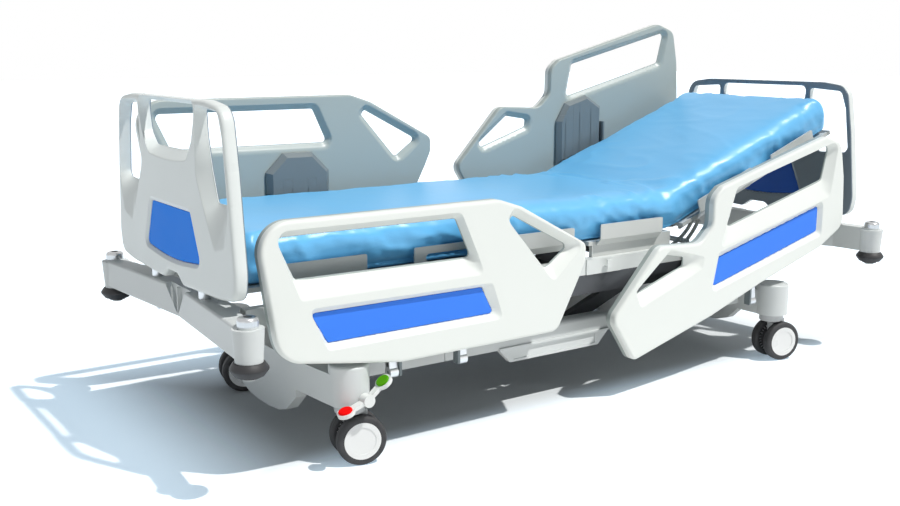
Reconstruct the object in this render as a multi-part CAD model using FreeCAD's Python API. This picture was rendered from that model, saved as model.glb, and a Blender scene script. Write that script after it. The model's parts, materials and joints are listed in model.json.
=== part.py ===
import FreeCAD, Part
import math
import os

# A height-adjustable hospital bed, shown lowered with its back raised, the two side rails on the
# near side let down and the two on the far side up.
# Millimetres, +Z up, +X towards the head end, -Y the near side, floor at Z = 0, origin at the centre.

V = FreeCAD.Vector

# Clearances and joints between pieces

OVERRUN = 1.0
RUNNING_FIT = 0.06
SLIDING_FIT = 0.08
SIDE_PLAY = 1.0
PART_GAP = 0.3

# Castors

CASTOR_Y = 345.0
FOOT_CASTOR_X = -808.0
HEAD_CASTOR_X = 757.0
WHEEL_RADIUS = 62.5
WHEEL_WIDTH = 29.0
TYRE_ROUNDING = 9.0
TWIN_GAP = 32.0
HUB_RADIUS = 46.5
HUB_DEPTH = 3.0
HUB_SEAM = 0.15
HUB_RING_RADIUS = 34.0
HUB_RING_DEPTH = 1.5
CASTOR_TRAIL = 20.0
CASTOR_YAW_DEG = 13.4
NECK_RADIUS = 37.5
NECK_BOTTOM = 127.0
NECK_TOP = 149.7
NECK_ROUNDING = 5.0
FORK_WIDTH = 28.0
FORK_DEPTH = 44.0
AXLE_RADIUS = 7.0
STEM_RADIUS = 10.0
STEM_LENGTH = 50.0

# Castor beams

BEAM_FRONT = 67.0
BEAM_BACK = 46.0
BEAM_STRAIGHT_Y = 135.0
BEAM_BOTTOM = 150.0
BEAM_TOP_MIDDLE = 228.0
BEAM_TOP_END = 250.0
BEAM_END_RADIUS = 50.0
BEAM_END_SHARE = 0.9
BEAM_LIP = 34.0
BEAM_ROUNDING = 6.0
BELLY_DEPTH = 84.0
BELLY_HALF = 183.0
BELLY_SHARES = [(1.00, 0.00), (1.00, 0.25), (0.73, 0.78), (0.50, 0.93), (0.18, 1.00)]

# Chassis under the covers

CHASSIS_RAIL_Y = 130.0
CHASSIS_RAIL_WIDTH = 40.0
CHASSIS_RAIL_BOTTOM = 146.0
CHASSIS_RAIL_TOP = 174.0
LIFT_Y = 200.0
COVER_MARGIN = 60.0
COVER_HALF = LIFT_Y + COVER_MARGIN
COVER_BOTTOM = 174.0
COVER_TOP = 226.0
COVER_END_INSET = 63.0
COVER_FOOT_X = FOOT_CASTOR_X + COVER_END_INSET
COVER_HEAD_X = HEAD_CASTOR_X - COVER_END_INSET
COVER_ROUNDING = 14.0
COVER_WALL = 6.0
SKIRT_THICKNESS = 18.0
SKIRT_BOTTOM = 133.5
SKIRT_TOP_FOOT_X = -287.0
SKIRT_TOP_HEAD_X = 120.0
SKIRT_SLOPE_RUN = 40.0
SKIRT_PATCH_INSET = 12.0
SKIRT_PATCH_DEPTH = 2.5
SKIRT_LEDGE = 5.0
COVER_SEAM = 3.0
COVER_SEAM_FOOT_X = -470.0
COVER_SEAM_HEAD_X = 395.0
MOTOR_RADIUS = 30.0
MOTOR_FOOT_X = -190.0
MOTOR_LENGTH = 250.0
MOTOR_SADDLE = 16.0
SADDLE_SHARE = 0.8

# Lift arms: two equal pairs that carry the upper frame

LIFT_FOOT_X = -700.0
LIFT_HEAD_X = -110.0
LIFT_BASE_Z = 160.0
LIFT_LENGTH = 492.0
LIFT_REST_DEG = 21.35
LIFT_THICKNESS = 22.0
LIFT_DEPTH = 40.0
LIFT_SHAFT_RADIUS = 12.0
LIFT_EYE_RADIUS = 22.0
LIFT_TUBE_RADIUS = 14.0
LIFT_TUBE_SHARE = 0.72
LIFT_SLOT_FOOT = 40.0
LIFT_SLOT_HEAD = 236.0
LIFT_SLOT_PLAY = 6.0
LIFT_OPEN_PLAY = 0.6

# Upper frame

SIDE_OUTER = 318.0
SIDE_WIDTH = 30.0
SIDE_BOTTOM = 365.5
SIDE_TOP = 409.0
SIDE_WALL = 3.5
CHANNEL_BOTTOM = 310.0
CHANNEL_END_X = 800.0
CHANNEL_WALL = 5.0
HOOK_PLATE_FOOT_X = -26.0
HOOK_PLATE_LENGTH = 130.0
HOOK_PLATE_THICKNESS = 4.0
HOOK_REACH = 14.0
HOOK_WIDTH = 16.0
HOOK_DROP = 22.0

# End crossbeams with corner posts, drip-pole sockets and bumper discs

CROSS_MIDDLE_X = 1100.0
POST_FORWARD = 11.0
POST_X = CROSS_MIDDLE_X + POST_FORWARD
POST_Y = 450.5
POST_FRONT_SHARE = 0.8
POST_BACK_SHARE = 0.6
CROSS_DEPTH = 44.0
CROSS_BACK_BOW = 22.0
CROSS_TOP = 410.0
CROSS_BOTTOM = 333.0
CROSS_ROUNDING = 7.0
NOTCH_HALF = 68.0
NOTCH_APEX = 343.0
NOTCH_DEPTH = 12.0
NOTCH_RIB = 5.0
POST_BOTTOM = 330.0
POST_TOP = 405.0
POST_RADIUS_BOTTOM = 31.0
POST_RADIUS_TOP = 36.0
DOME_RADIUS = 24.0
DOME_TOP = 430.5
DOME_ROUNDING = 9.0
SOCKET_RADIUS = 9.5
SOCKET_DEPTH = 70.0
DISC_RADIUS = 43.5
DISC_RIM_RADIUS = 33.0
DISC_BOTTOM = 294.0
DISC_PIN_RADIUS = 8.0
WASHER_RADIUS = 14.0
WASHER_THICKNESS = 4.0

# Head and foot boards

BOARD_HALF = 390.0
BOARD_BOTTOM = 424.0
BOARD_HEIGHT = 469.0
BOARD_THICKNESS = 32.0
BOARD_OVERHANG = 10.0
BOARD_OUTER_X = CROSS_MIDDLE_X + BOARD_OVERHANG
BOARD_INNER_X = BOARD_OUTER_X - BOARD_THICKNESS
BOARD_ROUNDING = 7.0
BOARD_SHARES = [(0.641, 0.974, 0.426), (0.885, 0.947, 0.107), (0.944, 0.638, 0.640),
                (1.003, 0.170, 0.256), (0.974, 0.045, 0.085), (0.744, 0.021, 0.213),
                (0.175, 0.004, 0.032), (0.080, 0.055, 0.034)]
CENTRE_FRONT_SHARES = [(0.410, 0.959, 0.043), (0.385, 0.844, 0.128), (0.308, 0.655, 0.030)]
CENTRE_BACK_SHARES = [(0.328, 0.904, 0.030), (0.282, 0.802, 0.085), (0.185, 0.701, 0.021)]
SLOT_FRONT_SHARES = [(0.526, 0.940, 0.030), (0.806, 0.915, 0.047), (0.897, 0.772, 0.107),
                     (0.903, 0.461, 0.034), (0.826, 0.461, 0.034), (0.641, 0.802, 0.171)]
SLOT_BACK_SHARES = [(0.570, 0.917, 0.021), (0.790, 0.896, 0.034), (0.862, 0.764, 0.085),
                    (0.874, 0.515, 0.010), (0.838, 0.515, 0.010), (0.668, 0.802, 0.149)]
BOWL_SHARES = [(0.826, 0.435, 0.028), (0.905, 0.435, 0.028), (0.885, 0.245, 0.028),
               (0.800, 0.245, 0.028)]
BOWL_DEPTH = 9.0
INSERT_SHARES = [(0.349, 0.420, 0.026), (0.462, 0.150, 0.038)]
INSERT_DIP_SHARES = [(0.000, 0.081, 0.426)]
INSERT_RECESS = 3.0
STUD_Y = 159.5
STUD_INSET = 20.0
STUD_X = BOARD_OUTER_X - STUD_INSET
STUD_RADIUS = 9.0
STUD_TIP = 322.0
STUD_COLLAR_RADIUS = 15.0

# Deck: fixed seat panel, back, thigh and calf panels with mattress retainers

DECK_HALF = 300.0
DECK_TOP = 455.0
DECK_PLATE = 12.0
HINGE_Z = 428.0
THIGH_HINGE_X = -20.0
CALF_HINGE_X = -375.0
SEAT_END_X = 330.0
BACK_PIVOT_X = 304.0
BACK_PIVOT_Z = 574.0
BACK_REST_DEG = 20.0
BACK_END_GAP = 12.0
BACK_END_X = BOARD_INNER_X - BACK_END_GAP
CALF_END_GAP = 23.0
CALF_END_X = CALF_END_GAP - BOARD_INNER_X
PANEL_GAP = 6.0
SEAT_FRONT_GAP = 18.0   # the raised thigh panel and mattress swing into it
HINGE_PIN_RADIUS = 6.0
KNUCKLE_RADIUS = 13.0
KNUCKLE_WIDTH = 22.0
KNUCKLE_Y = 240.0
RETAINER_TOP = 505.0
RETAINER_OUTER = 320.0
RETAINER_THICKNESS = 4.0
RETAINER_KNEE_Z = 462.0
RETAINER_FOOT_Y = 298.0
RETAINER_FOOT_Z = 440.0
RETAINER_ROUNDING = 5.0
CALF_RETAINER_FOOT_X = -967.0
CALF_RETAINER_LENGTH = 230.0
GRIP_RETAINER_FOOT_X = -600.0
GRIP_RETAINER_LENGTH = 213.0
THIGH_RETAINER_FOOT_X = -350.0
THIGH_RETAINER_LENGTH = 277.0
SEAT_RETAINER_FOOT_X = 26.0
SEAT_RETAINER_LENGTH = 244.0
BACK_RETAINER_STARTS = [(400.0, 250.0), (745.0, 210.0)]
GRIP_HOLE_INSET = 34.0
GRIP_HOLE_BOTTOM = 465.0
GRIP_HOLE_TOP = 486.0
TRACK_RADIUS = 195.0
TRACK_HALF_DEPTH = 16.0
TRACK_SHAFT_RADIUS = 8.0
TRACK_SHAFT_DEG = -56.0
TRACK_START_DEG = -132.4
TRACK_END_DEG = -50.0
TRACK_Y = 262.0
TRACK_THICKNESS = 8.0
TRACK_TIE_START_X = 350.0
TRACK_TIE_LENGTH = 70.0

# Mattress

MATTRESS_BOTTOM_HALF = 292.0
MATTRESS_LOW_HALF = 312.0
MATTRESS_LOW_Z = 500.0
MATTRESS_HALF = 323.0
MATTRESS_BULGE_Z = 536.0
MATTRESS_SHOULDER_Z = 566.0
MATTRESS_SHOULDER_HALF = 304.0
MATTRESS_TOP = 574.0
MATTRESS_BASE = 455.3
MATTRESS_END_TAPER = 14.0
MATTRESS_FOOT_GAP = 18.0
MATTRESS_FOOT_X = MATTRESS_FOOT_GAP - BOARD_INNER_X
MATTRESS_HEAD_GAP = 12.0
MATTRESS_BACK_END_X = BOARD_INNER_X - MATTRESS_HEAD_GAP
MATTRESS_SPLIT = 0.8

# Side rails, near ones let down

DECK_PIVOT_OUT = 12.0
DECK_PIVOT_Y = SIDE_OUTER + DECK_PIVOT_OUT
PIVOT_STEP = 15.0
RAIL_PIVOT_Y = DECK_PIVOT_Y + PIVOT_STEP
CHEEK_MARGIN = 7.0
CHEEK_OUTER = DECK_PIVOT_Y + CHEEK_MARGIN
RAIL_BACK_OFFSET = 15.0
RAIL_INNER = RAIL_PIVOT_Y + RAIL_BACK_OFFSET
RAIL_THICKNESS = 40.0
RAIL_OUTER = RAIL_INNER + RAIL_THICKNESS
RAIL_ROUNDING = 7.0
PANEL_SEAT_DEPTH = 20.0
PANEL_INNER = RAIL_OUTER - PANEL_SEAT_DEPTH
PANEL_STEP_DEPTH = 12.0
PANEL_STEP = RAIL_OUTER - PANEL_STEP_DEPTH
PANEL_PROUD = 2.5
PANEL_FACE = PANEL_STEP + PANEL_PROUD
FOOT_RAIL_X = -1052.0
FOOT_RAIL_Z = 243.0
FOOT_RAIL_LENGTH = 954.0
FOOT_RAIL_HEIGHT = 375.5
FOOT_RAIL_SHARES = [
    (0.000, 1.000, 0.064), (0.001, 0.791, 0.266), (0.031, 0.285, 0.186), (0.048, 0.130, 0.059),
    (0.239, 0.053, 0.213), (0.382, 0.000, 0.213), (0.898, 0.007, 0.091), (0.978, 0.383, 0.240),
    (1.000, 0.503, 0.080), (1.000, 0.621, 0.064), (0.767, 0.937, 0.160), (0.692, 1.000, 0.160)]
FOOT_WINDOW_FRONT_SHARES = [
    (0.032, 0.945, 0.069), (0.099, 0.498, 0.037), (0.645, 0.498, 0.037), (0.565, 0.945, 0.048)]
FOOT_WINDOW_BACK_SHARES = [
    (0.055, 0.889, 0.032), (0.103, 0.623, 0.027), (0.618, 0.618, 0.027), (0.569, 0.889, 0.027)]
FOOT_NOSE_FRONT_SHARES = [
    (0.739, 0.943, 0.032), (0.714, 0.860, 0.032), (0.881, 0.370, 0.048), (0.991, 0.615, 0.043)]
FOOT_NOSE_BACK_SHARES = [
    (0.757, 0.866, 0.021), (0.745, 0.828, 0.021), (0.872, 0.461, 0.032), (0.953, 0.605, 0.027)]
FOOT_PANEL_FRONT_SHARES = [
    (0.119, 0.450, 0.032), (0.669, 0.439, 0.032), (0.706, 0.170, 0.032), (0.170, 0.162, 0.032)]
FOOT_PANEL_BACK_SHARES = [
    (0.128, 0.413, 0.021), (0.639, 0.413, 0.021), (0.679, 0.216, 0.021), (0.174, 0.208, 0.021)]
FOOT_STATION_OFFSET = 471.5
FOOT_COVER_SHARES = [
    (-0.983, 0.413), (-0.447, 0.559), (0.4525, 0.557), (0.9886, 0.405), (0.9886, 0.045),
    (-0.983, 0.045)]
HEAD_RAIL_X = 5.0
HEAD_RAIL_Z = 118.0
HEAD_RAIL_LENGTH = 1023.0
HEAD_RAIL_HEIGHT = 600.0
HEAD_RAIL_SHARES = [
    (0.388, 0.737, 0.083), (0.425, 0.787, 0.050), (0.890, 0.998, 0.067), (0.967, 0.953, 0.060),
    (0.990, 0.770, 0.133), (1.001, 0.500, 0.083), (0.888, 0.398, 0.100), (0.611, 0.258, 0.133),
    (0.397, 0.135, 0.100), (0.085, -0.010, 0.040), (0.000, 0.212, 0.057), (0.177, 0.532, 0.067),
    (0.337, 0.517, 0.083), (0.388, 0.595, 0.067)]
HEAD_WINDOW_FRONT_SHARES = [
    (0.482, 0.778, 0.030), (0.953, 0.975, 0.043), (0.924, 0.670, 0.030), (0.417, 0.470, 0.023)]
HEAD_WINDOW_BACK_SHARES = [
    (0.500, 0.757, 0.017), (0.939, 0.943, 0.020), (0.910, 0.758, 0.020), (0.476, 0.570, 0.017)]
HEAD_NOSE_FRONT_SHARES = [
    (0.085, 0.333, 0.023), (0.216, 0.510, 0.027), (0.359, 0.450, 0.017), (0.351, 0.387, 0.017),
    (0.105, 0.243, 0.023)]
HEAD_NOSE_BACK_SHARES = [
    (0.105, 0.327, 0.013), (0.218, 0.473, 0.017), (0.300, 0.450, 0.013), (0.298, 0.407, 0.013),
    (0.118, 0.307, 0.013)]
HEAD_PANEL_FRONT_SHARES = [
    (0.417, 0.460, 0.020), (0.891, 0.655, 0.023), (0.891, 0.463, 0.020), (0.390, 0.253, 0.023)]
HEAD_PANEL_BACK_SHARES = [
    (0.428, 0.433, 0.013), (0.878, 0.625, 0.013), (0.878, 0.487, 0.013), (0.405, 0.282, 0.013)]
HEAD_STATION_OFFSET = 539.5
HEAD_COVER_SHARES = [
    (-1.1435, 0.435), (-0.7733, 0.537), (0.1230, 0.580), (0.7758, 0.512), (0.7758, 0.280),
    (-1.1435, 0.180)]
COVER_INNER = RAIL_PIVOT_Y - CHEEK_MARGIN
COVER_BEVEL = 15.0
COVER_BACK = 3.0

# Rail arms: a main pair and a second pair on each rail, all of one length, swinging outwards

FOOT_STATION_X = FOOT_RAIL_X + FOOT_STATION_OFFSET
HEAD_STATION_X = HEAD_RAIL_X + HEAD_STATION_OFFSET
ARM_OFFSET = 105.0
LINK_OFFSET = 40.0
ARM_THICKNESS = 24.0
ARM_WIDTH = 20.0
ARM_TOE_RADIUS = 14.0
LINK_TOE_RADIUS = 11.0
ARM_HOLLOW_WIDTH = 11.0
ARM_HOLLOW_DEPTH = 15.0
RAIL_PIVOT_Z = 205.0
FOOT_RAIL_DROP = 235.0
HEAD_RAIL_DROP = 362.0
LINK_RISE = 40.0
ARM_PIN_RADIUS = 5.0
CHEEK_THICKNESS = 7.0
CHEEK_LIP = 9.0
ARM_SLOT_PLAY = 3.0

# Brake pedal at the near foot corner

PEDAL_X = -795.0
PEDAL_Z = 170.0
PEDAL_PIN_RADIUS = 8.0
PEDAL_PIN_DEPTH = 24.0
PEDAL_BOSS_RADIUS = 15.0
PEDAL_BOSS_START = 396.5
PEDAL_BOSS_WIDTH = 26.0
PEDAL_LEVER_THICKNESS = 9.0
RED_REACH = 62.0
RED_DROP = 22.0
GREEN_REACH = 50.0
GREEN_RISE = 40.0
PAD_LENGTH = 34.0
PAD_WIDTH = 37.0
PAD_THICKNESS = 9.0
PAD_ROUNDING = 3.0
TRAY_RIM = 4.5
LEVER_HALF = 10.0


# Drawing helpers

def in_xz(y):
    return lambda u, v: V(u, y, v)


def in_yz(x):
    return lambda u, v: V(x, u, v)


def in_xy(z):
    return lambda u, v: V(u, v, z)


def rounded_wire(points, place):
    edges = []
    ends = []
    count = len(points)
    for index, (u, v, radius) in enumerate(points):
        corner = place(u, v)
        before = place(*points[index - 1][:2])
        after = place(*points[(index + 1) % count][:2])
        to_before = (before - corner).normalize()
        to_after = (after - corner).normalize()
        half = to_before.getAngle(to_after) / 2
        reach = radius / math.tan(half)
        first = corner + to_before * reach
        last = corner + to_after * reach
        inward = (to_before + to_after).normalize()
        middle = corner + inward * (radius / math.sin(half) - radius)
        ends.append((first, middle, last))
    for index, (first, middle, last) in enumerate(ends):
        edges.append(Part.Arc(first, middle, last).toShape())
        following = ends[(index + 1) % count][0]
        edges.append(Part.makeLine(last, following))
    return Part.Wire(edges)


def straight_wire(points, place):
    corners = [place(*point) for point in points]
    return Part.makePolygon(corners + corners[:1])


def prism(wire, along):
    return Part.Face(wire).extrude(along)


def box(x0, x1, y0, y1, z0, z1):
    return Part.makeBox(x1 - x0, y1 - y0, z1 - z0, V(x0, y0, z0))


def cylinder(base, direction, radius, length):
    return Part.makeCylinder(radius, length, base, direction)


def along_y(x, z, y0, y1, radius):
    return cylinder(V(x, y0, z), V(0, 1, 0), radius, y1 - y0)


def along_x(x0, x1, y, z, radius):
    return cylinder(V(x0, y, z), V(1, 0, 0), radius, x1 - x0)


def fuse(shapes):
    return shapes[0].multiFuse(shapes[1:]).removeSplitter() if len(shapes) > 1 else shapes[0]


def flip(shape, plane_normal):
    return shape.mirror(V(0, 0, 0), plane_normal)


def flip_y(shape):
    return flip(shape, V(0, 1, 0))


def flip_x(shape):
    return flip(shape, V(1, 0, 0))


def both_sides(shape):
    return [shape, flip_y(shape)]


def moved(shape, offset):
    copy = shape.copy()
    copy.translate(offset)
    return copy


def turned(shape, centre, axis, degrees):
    copy = shape.copy()
    copy.rotate(centre, axis, degrees)
    return copy


def edges_at(shape, coordinate, value, tolerance=0.01):
    found = []
    for edge in shape.Edges:
        limits = edge.BoundBox
        low = getattr(limits, coordinate + "Min")
        high = getattr(limits, coordinate + "Max")
        if abs(low - value) < tolerance and abs(high - value) < tolerance:
            found.append(edge)
    return found


def placed_shares(shares, x, z, length, height):
    return [(x + u * length, z + v * height, r * height) for u, v, r in shares]


def save(name, shape):
    shape.exportStep(os.path.join("parts", name + ".step"))
    saved.append(name)


os.makedirs("parts", exist_ok=True)
saved = []


# Castor beams

def castor_beam(outward):
    end = [(BEAM_FRONT, 0), (BEAM_FRONT, BEAM_STRAIGHT_Y),
           (BEAM_END_RADIUS, CASTOR_Y), (-BEAM_END_RADIUS * BEAM_END_SHARE, CASTOR_Y),
           (-BEAM_BACK, BEAM_STRAIGHT_Y), (-BEAM_BACK, 0)]
    plan = end + [(u, -v) for u, v in reversed(end[1:-1])]
    beam = prism(straight_wire(plan, in_xy(BEAM_BOTTOM)), V(0, 0, BEAM_TOP_MIDDLE - BEAM_BOTTOM))
    for side in (-1, 1):
        round_end = cylinder(V(0, side * CASTOR_Y, BEAM_BOTTOM), V(0, 0, 1), BEAM_END_RADIUS,
                             BEAM_TOP_END - BEAM_BOTTOM)
        rim = edges_at(round_end, "Z", BEAM_TOP_END)
        beam = beam.fuse(round_end.makeFillet(BEAM_ROUNDING, rim))
    belly = [(side * u * BELLY_HALF, BEAM_BOTTOM - v * BELLY_DEPTH)
             for side, shares in ((1, BELLY_SHARES), (-1, reversed(BELLY_SHARES)))
             for u, v in shares]
    lip = prism(straight_wire(belly, in_yz(BEAM_FRONT - BEAM_LIP)), V(BEAM_LIP, 0, 0))
    wide = box(BEAM_FRONT - BEAM_LIP, BEAM_FRONT, -BELLY_HALF, BELLY_HALF,
               BEAM_BOTTOM - BELLY_DEPTH, BEAM_TOP_MIDDLE)
    slant = prism(straight_wire(plan, in_xy(BEAM_BOTTOM - BELLY_DEPTH)),
                  V(0, 0, BEAM_TOP_MIDDLE - BEAM_BOTTOM + BELLY_DEPTH))
    beam = fuse([beam, lip.common(wide).common(slant)])
    for side in (-1, 1):
        beam = beam.cut(cylinder(V(0, side * CASTOR_Y, BEAM_BOTTOM - OVERRUN), V(0, 0, 1),
                                 STEM_RADIUS + RUNNING_FIT, STEM_LENGTH + PART_GAP + OVERRUN))
    return flip_x(beam) if outward < 0 else beam


foot_beam = moved(castor_beam(-1), V(FOOT_CASTOR_X, 0, 0))
head_beam = moved(castor_beam(1), V(HEAD_CASTOR_X, 0, 0))
pedal_bore = along_y(PEDAL_X, PEDAL_Z, -CASTOR_Y - BEAM_END_RADIUS - OVERRUN,
                     -CASTOR_Y - BEAM_END_RADIUS + PEDAL_PIN_DEPTH,
                     PEDAL_PIN_RADIUS + RUNNING_FIT)
foot_beam = foot_beam.cut(pedal_bore)
save("castor_beams", Part.makeCompound([foot_beam, head_beam]))


# Chassis frame: two longitudinal tubes and the shafts that carry the lift arms

rail_start = FOOT_CASTOR_X + BEAM_BACK
rail_end = HEAD_CASTOR_X - BEAM_BACK
frame_parts = []
for side in (-1, 1):
    frame_parts.append(box(rail_start, rail_end, side * CHASSIS_RAIL_Y - CHASSIS_RAIL_WIDTH / 2,
                           side * CHASSIS_RAIL_Y + CHASSIS_RAIL_WIDTH / 2,
                           CHASSIS_RAIL_BOTTOM, CHASSIS_RAIL_TOP))
shaft_reach = LIFT_Y + LIFT_THICKNESS / 2 + SIDE_PLAY + CHEEK_THICKNESS
for x in (LIFT_FOOT_X, LIFT_HEAD_X):
    frame_parts.append(along_y(x, LIFT_BASE_Z, -shaft_reach, shaft_reach, LIFT_SHAFT_RADIUS))
    for side in (-1, 1):
        outer = side * shaft_reach
        inner = side * (shaft_reach - CHEEK_THICKNESS)
        frame_parts.append(along_y(x, LIFT_BASE_Z, min(outer, inner), max(outer, inner),
                                   LIFT_SHAFT_RADIUS + CHEEK_THICKNESS / 2))
save("chassis_frame", fuse(frame_parts))


# Light cover over the chassis with its side skirts

def cover_slot(x, side):
    half = LIFT_THICKNESS / 2 + SIDE_PLAY + CHEEK_THICKNESS + LIFT_SLOT_PLAY
    return box(x - LIFT_SLOT_FOOT, x + LIFT_SLOT_HEAD, side * LIFT_Y - half, side * LIFT_Y + half,
               COVER_BOTTOM - OVERRUN, COVER_TOP + OVERRUN)


cover = box(COVER_FOOT_X, COVER_HEAD_X, -COVER_HALF, COVER_HALF, COVER_BOTTOM, COVER_TOP)
long_top = [edge for edge in edges_at(cover, "Z", COVER_TOP) if edge.BoundBox.XLength > COVER_HALF]
cover = cover.makeFillet(COVER_ROUNDING, long_top)
cover = cover.cut(box(COVER_FOOT_X + COVER_WALL, COVER_HEAD_X - COVER_WALL, COVER_WALL - COVER_HALF,
                      COVER_HALF - COVER_WALL, COVER_BOTTOM - OVERRUN, COVER_TOP - COVER_WALL))
for x in (LIFT_FOOT_X, LIFT_HEAD_X):
    for side in (-1, 1):
        cover = cover.cut(cover_slot(x, side))
for x in (COVER_SEAM_FOOT_X, COVER_SEAM_HEAD_X):
    for side in (-1, 1):
        face = side * COVER_HALF
        cover = cover.cut(box(x, x + COVER_SEAM, face - COVER_SEAM, face + COVER_SEAM,
                              COVER_BOTTOM - OVERRUN, COVER_TOP + OVERRUN))
skirt_outline = [(SKIRT_TOP_FOOT_X, COVER_BOTTOM), (SKIRT_TOP_FOOT_X + SKIRT_SLOPE_RUN, SKIRT_BOTTOM),
                 (SKIRT_TOP_HEAD_X - SKIRT_SLOPE_RUN, SKIRT_BOTTOM), (SKIRT_TOP_HEAD_X, COVER_BOTTOM)]
skirt = prism(straight_wire(skirt_outline, in_xz(-COVER_HALF)), V(0, SKIRT_THICKNESS, 0))
patch_x0 = SKIRT_TOP_FOOT_X + SKIRT_SLOPE_RUN + SKIRT_PATCH_INSET
patch_x1 = SKIRT_TOP_HEAD_X - SKIRT_SLOPE_RUN - SKIRT_PATCH_INSET
skirt = skirt.cut(box(patch_x0, patch_x1, -COVER_HALF - OVERRUN, -COVER_HALF + SKIRT_PATCH_DEPTH,
                      SKIRT_BOTTOM + SKIRT_PATCH_INSET / 2, COVER_BOTTOM - SKIRT_PATCH_INSET / 2))
ledge = box(SKIRT_TOP_FOOT_X, SKIRT_TOP_HEAD_X, -COVER_HALF - SKIRT_LEDGE, -COVER_HALF,
            COVER_BOTTOM, COVER_BOTTOM + SKIRT_LEDGE)
cover = fuse([cover] + both_sides(skirt) + both_sides(ledge))
save("chassis_cover", cover)


# Lift motor on the cover

motor_z = COVER_TOP + MOTOR_SADDLE / 2 + MOTOR_RADIUS
motor = along_x(MOTOR_FOOT_X, MOTOR_FOOT_X + MOTOR_LENGTH, 0, motor_z, MOTOR_RADIUS)
saddle = box(MOTOR_FOOT_X + MOTOR_SADDLE, MOTOR_FOOT_X + MOTOR_LENGTH - MOTOR_SADDLE,
             -MOTOR_RADIUS * SADDLE_SHARE, MOTOR_RADIUS * SADDLE_SHARE, COVER_TOP, motor_z)
save("lift_motor", fuse([motor, saddle]))


# Castors: a fork with its stem and brake ring, twin tyres and their hub discs

def castor_piece(shape, x, side):
    placed = moved(shape, V(x + CASTOR_TRAIL, side * CASTOR_Y, 0))
    return turned(placed, V(x, side * CASTOR_Y, 0), V(0, 0, 1), -CASTOR_YAW_DEG)


def castor_fork():
    neck = cylinder(V(-CASTOR_TRAIL, 0, NECK_BOTTOM), V(0, 0, 1), NECK_RADIUS,
                    NECK_TOP - NECK_BOTTOM)
    neck = neck.makeFillet(NECK_ROUNDING, edges_at(neck, "Z", NECK_BOTTOM))
    stem = cylinder(V(-CASTOR_TRAIL, 0, NECK_TOP), V(0, 0, 1), STEM_RADIUS, STEM_LENGTH)
    column = box(-FORK_DEPTH / 2, FORK_DEPTH / 2, -FORK_WIDTH / 2, FORK_WIDTH / 2,
                 WHEEL_RADIUS, NECK_BOTTOM + NECK_ROUNDING)
    foot = along_y(0, WHEEL_RADIUS, -FORK_WIDTH / 2, FORK_WIDTH / 2, FORK_DEPTH / 2)
    axle_half = TWIN_GAP / 2 + WHEEL_WIDTH - HUB_DEPTH - PART_GAP
    axle = along_y(0, WHEEL_RADIUS, -axle_half, axle_half, AXLE_RADIUS)
    return fuse([neck, stem, column, foot, axle])


def castor_tyres():
    tyres = []
    for side in (-1, 1):
        inner = side * TWIN_GAP / 2
        outer = side * (TWIN_GAP / 2 + WHEEL_WIDTH)
        y0, y1 = min(inner, outer), max(inner, outer)
        tyre = along_y(0, WHEEL_RADIUS, y0, y1, WHEEL_RADIUS)
        rim = [edge for value in (y0, y1) for edge in edges_at(tyre, "Y", value)]
        tyre = tyre.makeFillet(TYRE_ROUNDING, rim)
        tyre = tyre.cut(along_y(0, WHEEL_RADIUS, y0 - OVERRUN, y1 + OVERRUN,
                                AXLE_RADIUS + RUNNING_FIT))
        disc_inner = side * (TWIN_GAP / 2 + WHEEL_WIDTH - HUB_DEPTH)
        tyre = tyre.cut(along_y(0, WHEEL_RADIUS, min(disc_inner, outer + side * OVERRUN),
                                max(disc_inner, outer + side * OVERRUN), HUB_RADIUS))
        tyres.append(tyre)
    return Part.makeCompound(tyres)


def castor_discs():
    discs = []
    for side in (-1, 1):
        inner = side * (TWIN_GAP / 2 + WHEEL_WIDTH - HUB_DEPTH)
        outer = side * (TWIN_GAP / 2 + WHEEL_WIDTH)
        y0, y1 = min(inner, outer), max(inner, outer)
        disc = along_y(0, WHEEL_RADIUS, y0, y1, HUB_RADIUS - HUB_SEAM)
        face = outer - side * HUB_RING_DEPTH
        ring = along_y(0, WHEEL_RADIUS, min(face, outer + side * OVERRUN),
                       max(face, outer + side * OVERRUN), HUB_RING_RADIUS)
        disc = disc.cut(ring)
        discs.append(disc)
    return Part.makeCompound(discs)


fork = castor_fork()
tyres = castor_tyres()
discs = castor_discs()
for x, end in ((FOOT_CASTOR_X, "foot"), (HEAD_CASTOR_X, "head")):
    for side, name in ((-1, "near"), (1, "far")):
        save("castor_fork_%s_%s" % (end, name), castor_piece(fork, x, side))
        save("castor_tyres_%s_%s" % (end, name), castor_piece(tyres, x, side))
        save("castor_discs_%s_%s" % (end, name), castor_piece(discs, x, side))


# Brake pedal with a red pad to lock and a green pad to release

boss_start = -PEDAL_BOSS_START
boss_end = boss_start - PEDAL_BOSS_WIDTH
pedal = along_y(PEDAL_X, PEDAL_Z, boss_end, boss_start, PEDAL_BOSS_RADIUS)
pedal_pin = along_y(PEDAL_X, PEDAL_Z, boss_start,
                    -CASTOR_Y - BEAM_END_RADIUS + PEDAL_PIN_DEPTH - PART_GAP, PEDAL_PIN_RADIUS)
lever_middle = (boss_start + boss_end) / 2


def lever_turned(shape, dx, dz):
    if dx < 0:
        shape = flip_x(shape)
    angle = math.degrees(math.atan2(dz, abs(dx)))
    shape.rotate(V(0, 0, 0), V(0, 1, 0), angle if dx < 0 else -angle)
    shape.translate(V(PEDAL_X, 0, PEDAL_Z))
    return shape


def oval(reach, length, width, z0, z1):
    ring = Part.Ellipse(V(reach, lever_middle + width / 2, z0), V(reach + length / 2, lever_middle, z0),
                        V(reach, lever_middle, z0))
    return prism(Part.Wire([ring.toShape()]), V(0, 0, z1 - z0))


def pad_reach(dx, dz):
    return math.hypot(dx, dz) - TRAY_RIM


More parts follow.
